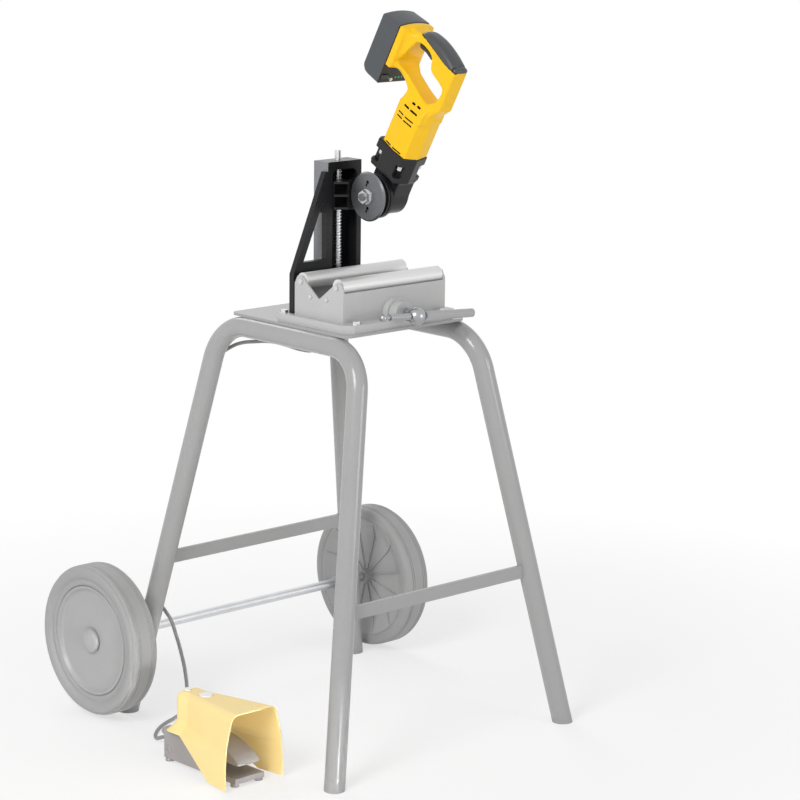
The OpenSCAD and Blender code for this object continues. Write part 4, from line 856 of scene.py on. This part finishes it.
class PIPECUTTER_OT_drive(bpy.types.Operator):
    """Build the drive housing with its grip and trigger"""

    bl_idname = "pipe_cutter.drive"
    bl_label = "Drive unit"

    def execute(self, context):
        step = grid_step(MOULD_GRID)
        field = Field((-41, -62, -88), (41, 94, 144), step)
        grip = self.grip(field)
        core = self.grip_core(field)
        shell = self.shell(field, grip, core)
        for name, side in (("housing_left", -1), ("housing_right", 1)):
            half = piece("shell_" + name, field.skin(shell), shell_abs(), "carriage",
                         (name,), HANDLE)
            self.cut_half(half, side)
        crease = np.maximum(field.block((-25, -46.8, 95), (25, -44.4, 145)), -grip - CREASE_DEPTH)
        pad = carve(np.maximum(carve(grip, crease, 1.5), field.y - GRIP_BACK), core - CORE_GAP)
        piece("handle_pad", field.skin(pad), grip_tpe(), "carriage", ("soft_grip",), HANDLE)
        fine = Field((-14, 6, 95), (14, 54, 112), step / 2)
        key = fine.plate(0, side_outline(TRIGGER_OUTLINE), -12, 12, 2)
        piece("trigger_key", fine.skin(key), dark_nylon(), "trigger", ("trigger",), HANDLE)
        dress(dark_nylon(), "trigger_switch")
        dress(motor_steel(), "motor_can", "armature")
        dress(bright_steel(), "motor_bearings", "housing_screws")
        return {"FINISHED"}

    def grip(self, field):
        """Whole soft grip on the bow of the handle."""
        outline = outline_distance(side_outline(smooth(GRIP_OUTLINE)), field.y, field.z)
        return meet(outline + 0 * field.x, np.abs(field.x) - GRIP_HALF, GRIP_ROUND)

    def grip_core(self, field):
        """Core of the housing under the soft grip."""
        lowered = [(v, u - GRIP_DEPTH) for v, u in GRIP_OUTLINE]
        both = [field.plate(0, side_outline(smooth(points)), -CORE_HALF, CORE_HALF)
                for points in (GRIP_OUTLINE, lowered)]
        return np.maximum(*both)

    def shell(self, field, grip, core):
        """Whole housing: motor barrel, bow handle, neck and battery shoe, less what it holds."""
        barrel = ((-28, -31), (-31, 0), (-28, 31), (0, 38), (28, 31), (31, 0), (28, -31), (0, -38))
        barrel = field.plate(2, barrel, BARREL_FOOT, 6, 1.5)
        outline = side_outline(HANDLE_OUTLINE)
        handle = field.plate(0, outline, -HANDLE_HALF, HANDLE_HALF, 5)
        wedge = field.plate(1, ((-28, -10), (28, -10), (28, 8), (17, 30), (-17, 30), (-28, 8)), -34, 30, 3)
        handle = join(handle, np.maximum(wedge, outline_distance(outline, field.y, field.z)), 6)
        handle = np.minimum(carve(handle, grip - GRIP_GAP), core)
        shoe = [(-SHOE_HALF, 42.5), (SHOE_HALF, 42.5), *crown(SHOE_HALF, 127.5)]
        shoe = field.plate(1, shoe, *SHOE_DEPTH, 3)
        neck = field.plate(2, ((-34, 78), (34, 78), (17, 52), (-17, 52)), 46, 120, 4)
        shell = join(join(handle, join(shoe, neck, 8), 10), barrel, 4)
        shell = np.minimum(carve(shell, grip - GRIP_GAP), core)
        shell = carve(shell, field.plate(0, side_outline(smooth(HAND_HOLE, 3)), -60, 60), 4)
        hollows = (
            field.rod(2, (0, 0), 48.1, -90, -8.5), field.rod(2, (0, 0), 22.1, -12, -1.5),
            field.block((-12.5, 9, 94), (12.5, 50.5, 115)), field.block((-12, 0, 114), (12, 42, 125.05)),
            field.block((-26.5, 81, 32), (26.5, 91, 109)), field.block((-32.5, 81, 32), (32.5, 85, 109)),
        )
        for hollow in hollows:
            shell = carve(shell, hollow)
        return np.maximum(shell, BARREL_FOOT - field.z)

    def cut_half(self, shell, side):
        """Keeps the half on one side of the parting plane and cuts its vent slots."""
        bm = bmesh.new()
        prism(bm, ((-70, -100), (100, -100), (100, 150), (-70, 150)), 0, -side * 60)
        for up, start, end in VENTS:
            half = WIDE_VENT_HALF if up > 0 else VENT_HALF
            outline = [(start + half - half * math.sin(a), up + half * math.cos(a)) for a in arc(6)]
            outline += [(end - half + half * math.sin(a), up - half * math.cos(a)) for a in arc(6)]
            prism(bm, side_outline(outline), side * 12, side * 32)
        cutter = piece("parting_cutter", bm, dark_nylon(), "carriage", (), HANDLE)
        cut = shell.modifiers.new("parting_and_vents", "BOOLEAN")
        cut.operation = "DIFFERENCE"
        cut.solver = "EXACT"
        cut.material_mode = "TRANSFER"
        cut.object = cutter
        bake(shell)
        bpy.data.objects.remove(cutter)


class PIPECUTTER_OT_battery(bpy.types.Operator):
    """Build the battery pack"""

    bl_idname = "pipe_cutter.battery"
    bl_label = "Battery"

    def execute(self, context):
        field = Field((-40, 79, -3), (40, 139, 133), grid_step(MOULD_GRID))
        shell = piece("battery_shell", field.skin(self.case(field)), pack_abs(), "battery",
                      ("battery_case",), HANDLE)
        # The face with the gauge is darkened: painted shade
        self.gauge_shade_film(shell.data, dark_nylon())
        dress(cell_wrap(), "battery_cells")
        dress(white_abs(), "gauge_button")
        dress(pack_abs(), "battery_latch")
        bm = bmesh.new()
        lens = ((0, 0), (1.9, 0), (1.9, 0.8), (1.5, 1.1), (0, 1.2))
        for x in GAUGE_LIGHTS:
            place = Matrix.Translation((x, BATTERY_DEPTH[0] + LENS_SINK, GAUGE_HEIGHT))
            turned(bm, lens, place @ Matrix.Rotation(math.pi / 2, 4, "X"), 24)
        piece("gauge_lights", bm, gauge_lens(), "battery", (), HANDLE)
        return {"FINISHED"}

    def case(self, field):
        """Case with an arched top, a bevelled back, its rail, and room for cells, key and latch."""
        front, back = BATTERY_DEPTH
        foot = [(-BATTERY_HALF, 4), (4 - BATTERY_HALF, 0), (BATTERY_HALF - 4, 0), (BATTERY_HALF, 4)]
        case = field.plate(1, foot + crown(BATTERY_HALF, 129), front, back, 2)
        slope = 128.5 - CROWN_DROP * (field.x / BATTERY_HALF) ** 2 - 0.1 * (field.y - front)
        case = meet(case, field.z - slope, 3)
        bevel = (field.y - field.z + 0 * field.x) / math.sqrt(2)
        case = meet(case, bevel - 126.8 / math.sqrt(2), 6)
        stem = field.block((-26, 81.5, 42.5), (26, 90, 108.5))
        head = field.block((-32, 81.5, 42.5), (32, 84.5, 108.5))
        case = np.minimum(case, np.minimum(stem, head))
        cells = np.maximum(field.block((-35, 91.3, 2.5), (35, 133.3, 115.7)), bevel - 123.3 / math.sqrt(2))
        key = field.rod(1, (-5.5, 7), 8, 86, 93)
        latch = field.block((-32.5, 86, 9.5), (-15.5, 93, 18.5))
        for hollow in (cells, key, latch):
            case = carve(case, hollow)
        return case

    def gauge_shade_film(self, mesh, material):
        """Gives the face with the charge gauge a dark film: painted shade on the whole face that looks
        ahead, over the gauge's own dark panel.
        """
        mesh.materials.append(material)
        ahead = HANDLE.to_3x3() @ Vector((0, -1, 0))
        for face in mesh.polygons:
            face.material_index = int(face.normal.dot(ahead) > GAUGE_SHADE_FACING)


class PIPECUTTER_OT_foot_switch(bpy.types.Operator):
    """Build the foot switch and its hood"""

    bl_idname = "pipe_cutter.foot_switch"
    bl_label = "Foot switch"

    def execute(self, context):
        dress(pedal_pa(), "pedal_base", "cable_glands", "cable_clips", edge=sizes().edge)
        dress(bright_steel(), "pedal_pin")
        step = grid_step(MOULD_GRID)
        place = Matrix.Translation((PEDAL_X * MM, 0, 0))
        field = Field((-72, -190, 1), (72, 24, 143), step)
        piece("hood_shell", field.skin(self.hood(field)), hood_enamel(), "stand",
              ("pedal_hood",), place)
        bm = bmesh.new()
        for x, y, diameter in HOOD_HOLES:
            radius = diameter / 2 - PLUG_GAP
            plug = ((0, 131.4), (radius - 1, 131.4), (radius, 132), (radius, 136.2), (radius - 0.8, 136.9),
                    (0, 137.2))
            turned(bm, plug, Matrix.Translation((x, y, 0)))
        piece("hood_plugs", bm, white_abs(), "stand", (), place)
        bm = bmesh.new()
        boss = ((0, 0.5), (3.2, 0.5), (3.8, 1.7), (6.2, 1.7), (7, 0.9), (7, -1), (0, -1))
        for side in (-1, 1):
            turned(bm, boss, along_x(side, side * PEDAL_HALF, 15, 24), 48)
        piece("base_bosses", bm, pedal_pa(), "stand", (), place)
        field = Field((-28, -176, 34), (28, -50, 75), step)
        piece("treadle_plate", field.skin(self.treadle(field)), pedal_pa(), "treadle",
              ("foot_pedal",), place)
        return {"FINISHED"}

    def hood(self, field):
        """Sheet hood: narrow at the back, flared to its mouth, with a slanting skirt and two holes."""
        y, z = field.y, field.z
        spread = np.clip((-31 - y) / 155, 0, 1)
        mouth = np.interp(z, (4, 35, 79, 107, 140), (68, 67.5, 65, 58.5, 50))
        lip = np.clip((80 - z) / 16, 0, 1) ** 1.5
        half = (25 + 20 * lip) * (1 - spread) + mouth * spread
        form = meet(np.abs(field.x) - half, z - HOOD_TOP - 5 * spread, 14)
        form = meet(form, y - 10 - 5 * lip + 0 * field.x, 17)
        shell = carve(form, form + HOOD_SHEET, 0.6)
        shell = meet(shell, HOOD_MOUTH - y, 1.5)
        skirt = np.interp(y, (-128, -30), (4, 62.3))
        shell = meet(shell, (skirt - z) * 0.85, 1.5)
        for x, back, diameter in HOOD_HOLES:
            shell = carve(shell, field.rod(2, (x, back), diameter, 115, 160), 0.8)
        return shell

    def treadle(self, field):
        """Curved treadle with the bore of its pin."""
        outline = ((-171, 36.5), (-172, 39), (-168, 45), (-158, 52), (-140, 60), (-118, 66.5), (-95, 70.5),
                   (-72, 72), (-54, 71), (-53, 44), (-82, 38))
        plate = field.plate(0, outline, -25.5, 25.5, 2)
        return carve(plate, field.rod(0, (-62, 50), 9.6, -40, 40))


class PIPECUTTER_OT_cable(bpy.types.Operator):
    """Lay the foot switch cable along the leg"""

    bl_idname = "pipe_cutter.cable"
    bl_label = "Cable"

    def execute(self, context):
        curve = bpy.data.curves.new("foot_switch_cable", "CURVE")
        curve.dimensions = "3D"
        curve.bevel_depth = sizes().cable / 2
        curve.bevel_resolution = 5
        curve.resolution_u = 8
        curve.use_fill_caps = True
        spline = curve.splines.new("BEZIER")
        spline.bezier_points.add(len(CABLE_ROUTE) - 1)
        for point, place in zip(spline.bezier_points, CABLE_ROUTE):
            point.co = Vector(place) * MM
            point.handle_left_type = point.handle_right_type = "AUTO"
        curve.materials.append(cable_pvc())
        cable = link(bpy.data.objects.new("foot_switch_cable", curve))
        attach(cable, "stand")
        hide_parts("foot_cable")
        context.view_layer.update()
        return {"FINISHED"}


class PIPECUTTER_OT_stage(bpy.types.Operator):
    """Set the pale floor, the soft light and the camera"""

    bl_idname = "pipe_cutter.stage"
    bl_label = "Stage"

    def execute(self, context):
        self.floor()
        self.light(context)
        self.camera(context)
        context.scene.view_settings.view_transform = "Standard"
        return {"FINISHED"}

    def floor(self):
        """White floor that keeps the shadow."""
        bm = bmesh.new()
        bmesh.ops.create_grid(bm, x_segments=1, y_segments=1, size=FLOOR_HALF)
        mesh = bpy.data.meshes.new("studio_floor")
        bm.to_mesh(mesh)
        bm.free()
        # Matt white studio paper: it takes the shadow near the object and fades to the white background.
        paper = bpy.data.materials.new("studio_paper")
        paper.use_nodes = True
        tree = paper.node_tree
        shader = tree.nodes["Principled BSDF"]
        shader.inputs["Base Color"].default_value = linear("#FAFAFA")
        shader.inputs["Roughness"].default_value = 0.9
        shader.inputs["Specular IOR Level"].default_value = 0.0
        seen = background_rays(tree)
        place = add(tree, "ShaderNodeTexCoord").outputs["Object"]
        away = add(tree, "ShaderNodeVectorMath", {0: place}, operation="LENGTH").outputs["Value"]
        plain = add(tree, "ShaderNodeMapRange", {
            "Value": away, "From Min": FADE_START, "From Max": FADE_END,
            "To Min": LEAST_WHITE, "To Max": 1.0}).outputs[0]
        share = add(tree, "ShaderNodeMath", {0: seen, 1: plain}, operation="MULTIPLY")
        white = add(tree, "ShaderNodeEmission", {"Color": (1, 1, 1, 1), "Strength": 1.0})
        mixed = add(tree, "ShaderNodeMixShader", {
            0: share.outputs[0], 1: shader.outputs[0], 2: white.outputs[0]})
        tree.links.new(mixed.outputs[0], tree.nodes["Material Output"].inputs["Surface"])
        mesh.materials.append(paper)
        link(bpy.data.objects.new("studio_floor", mesh))

    def light(self, context):
        """Light from all round in front of a white background, and the lamps."""
        world = bpy.data.worlds.new("studio")
        context.scene.world = world
        world.use_nodes = True
        tree = world.node_tree
        level = add(tree, "ShaderNodeMapRange", {
            "Value": background_rays(tree), "To Min": AMBIENT, "To Max": 1.0})
        tree.links.new(level.outputs[0], tree.nodes["Background"].inputs["Strength"])
        tree.nodes["Background"].inputs["Color"].default_value = (1, 1, 1, 1)
        for name, place, target, size, power, spread in LAMPS:
            lamp = bpy.data.lights.new(name, "AREA")
            lamp.shape = "DISK"
            lamp.size = size
            lamp.energy = power
            lamp.spread = math.radians(spread)
            obj = link(bpy.data.objects.new(name, lamp))
            obj.location = place
            obj.rotation_euler = (Vector(target) - Vector(place)).to_track_quat("-Z", "Y").to_euler()

    def camera(self, context):
        """Camera that frames the whole machine from the left front."""
        azimuth, elevation, roll = (math.radians(a) for a in CAMERA_ANGLES)
        back = Vector((math.sin(azimuth) * math.cos(elevation), -math.cos(azimuth) * math.cos(elevation),
                       math.sin(elevation)))
        data = bpy.data.cameras.new("studio_camera")
        data.sensor_width = CAMERA_SENSOR
        data.lens = CAMERA_LENS
        data.clip_end = 60.0
        camera = link(bpy.data.objects.new("studio_camera", data))
        camera.rotation_mode = "QUATERNION"
        camera.location = CAMERA_PLACE
        camera.rotation_quaternion = (-back).to_track_quat("-Z", "Y") @ Quaternion((0, 0, 1), roll)
        context.scene.camera = camera


STEPS = (
    PIPECUTTER_OT_stand, PIPECUTTER_OT_wheels, PIPECUTTER_OT_bed, PIPECUTTER_OT_feed_lever,
    PIPECUTTER_OT_upright, PIPECUTTER_OT_head, PIPECUTTER_OT_drive, PIPECUTTER_OT_battery,
    PIPECUTTER_OT_foot_switch, PIPECUTTER_OT_cable, PIPECUTTER_OT_stage,
)


class PIPECUTTER_PT_panel(bpy.types.Panel):
    """Lists the steps, colours and sizes of the pipe cutter"""

    bl_label = "Pipe cutter"
    bl_idname = "PIPECUTTER_PT_panel"
    bl_space_type = "VIEW_3D"
    bl_region_type = "UI"
    bl_category = "Pipe cutter"

    def draw(self, context):
        for group in (colours(), sizes()):
            for name in group.__annotations__:
                self.layout.prop(group, name)
        for step in STEPS:
            self.layout.operator(step.bl_idname)


CLASSES = (PipeCutterColours, PipeCutterSizes, *STEPS, PIPECUTTER_PT_panel)


def register():
    for cls in CLASSES:
        bpy.utils.register_class(cls)
    bpy.types.Scene.pipe_cutter_colours = bpy.props.PointerProperty(type=PipeCutterColours)
    bpy.types.Scene.pipe_cutter_sizes = bpy.props.PointerProperty(type=PipeCutterSizes)


def unregister():
    del bpy.types.Scene.pipe_cutter_sizes
    del bpy.types.Scene.pipe_cutter_colours
    for cls in reversed(CLASSES):
        bpy.utils.unregister_class(cls)


def main():
    register()
    for step in STEPS:
        group, name = step.bl_idname.split(".")
        getattr(getattr(bpy.ops, group), name)()


if __name__ == "__main__":
    main()
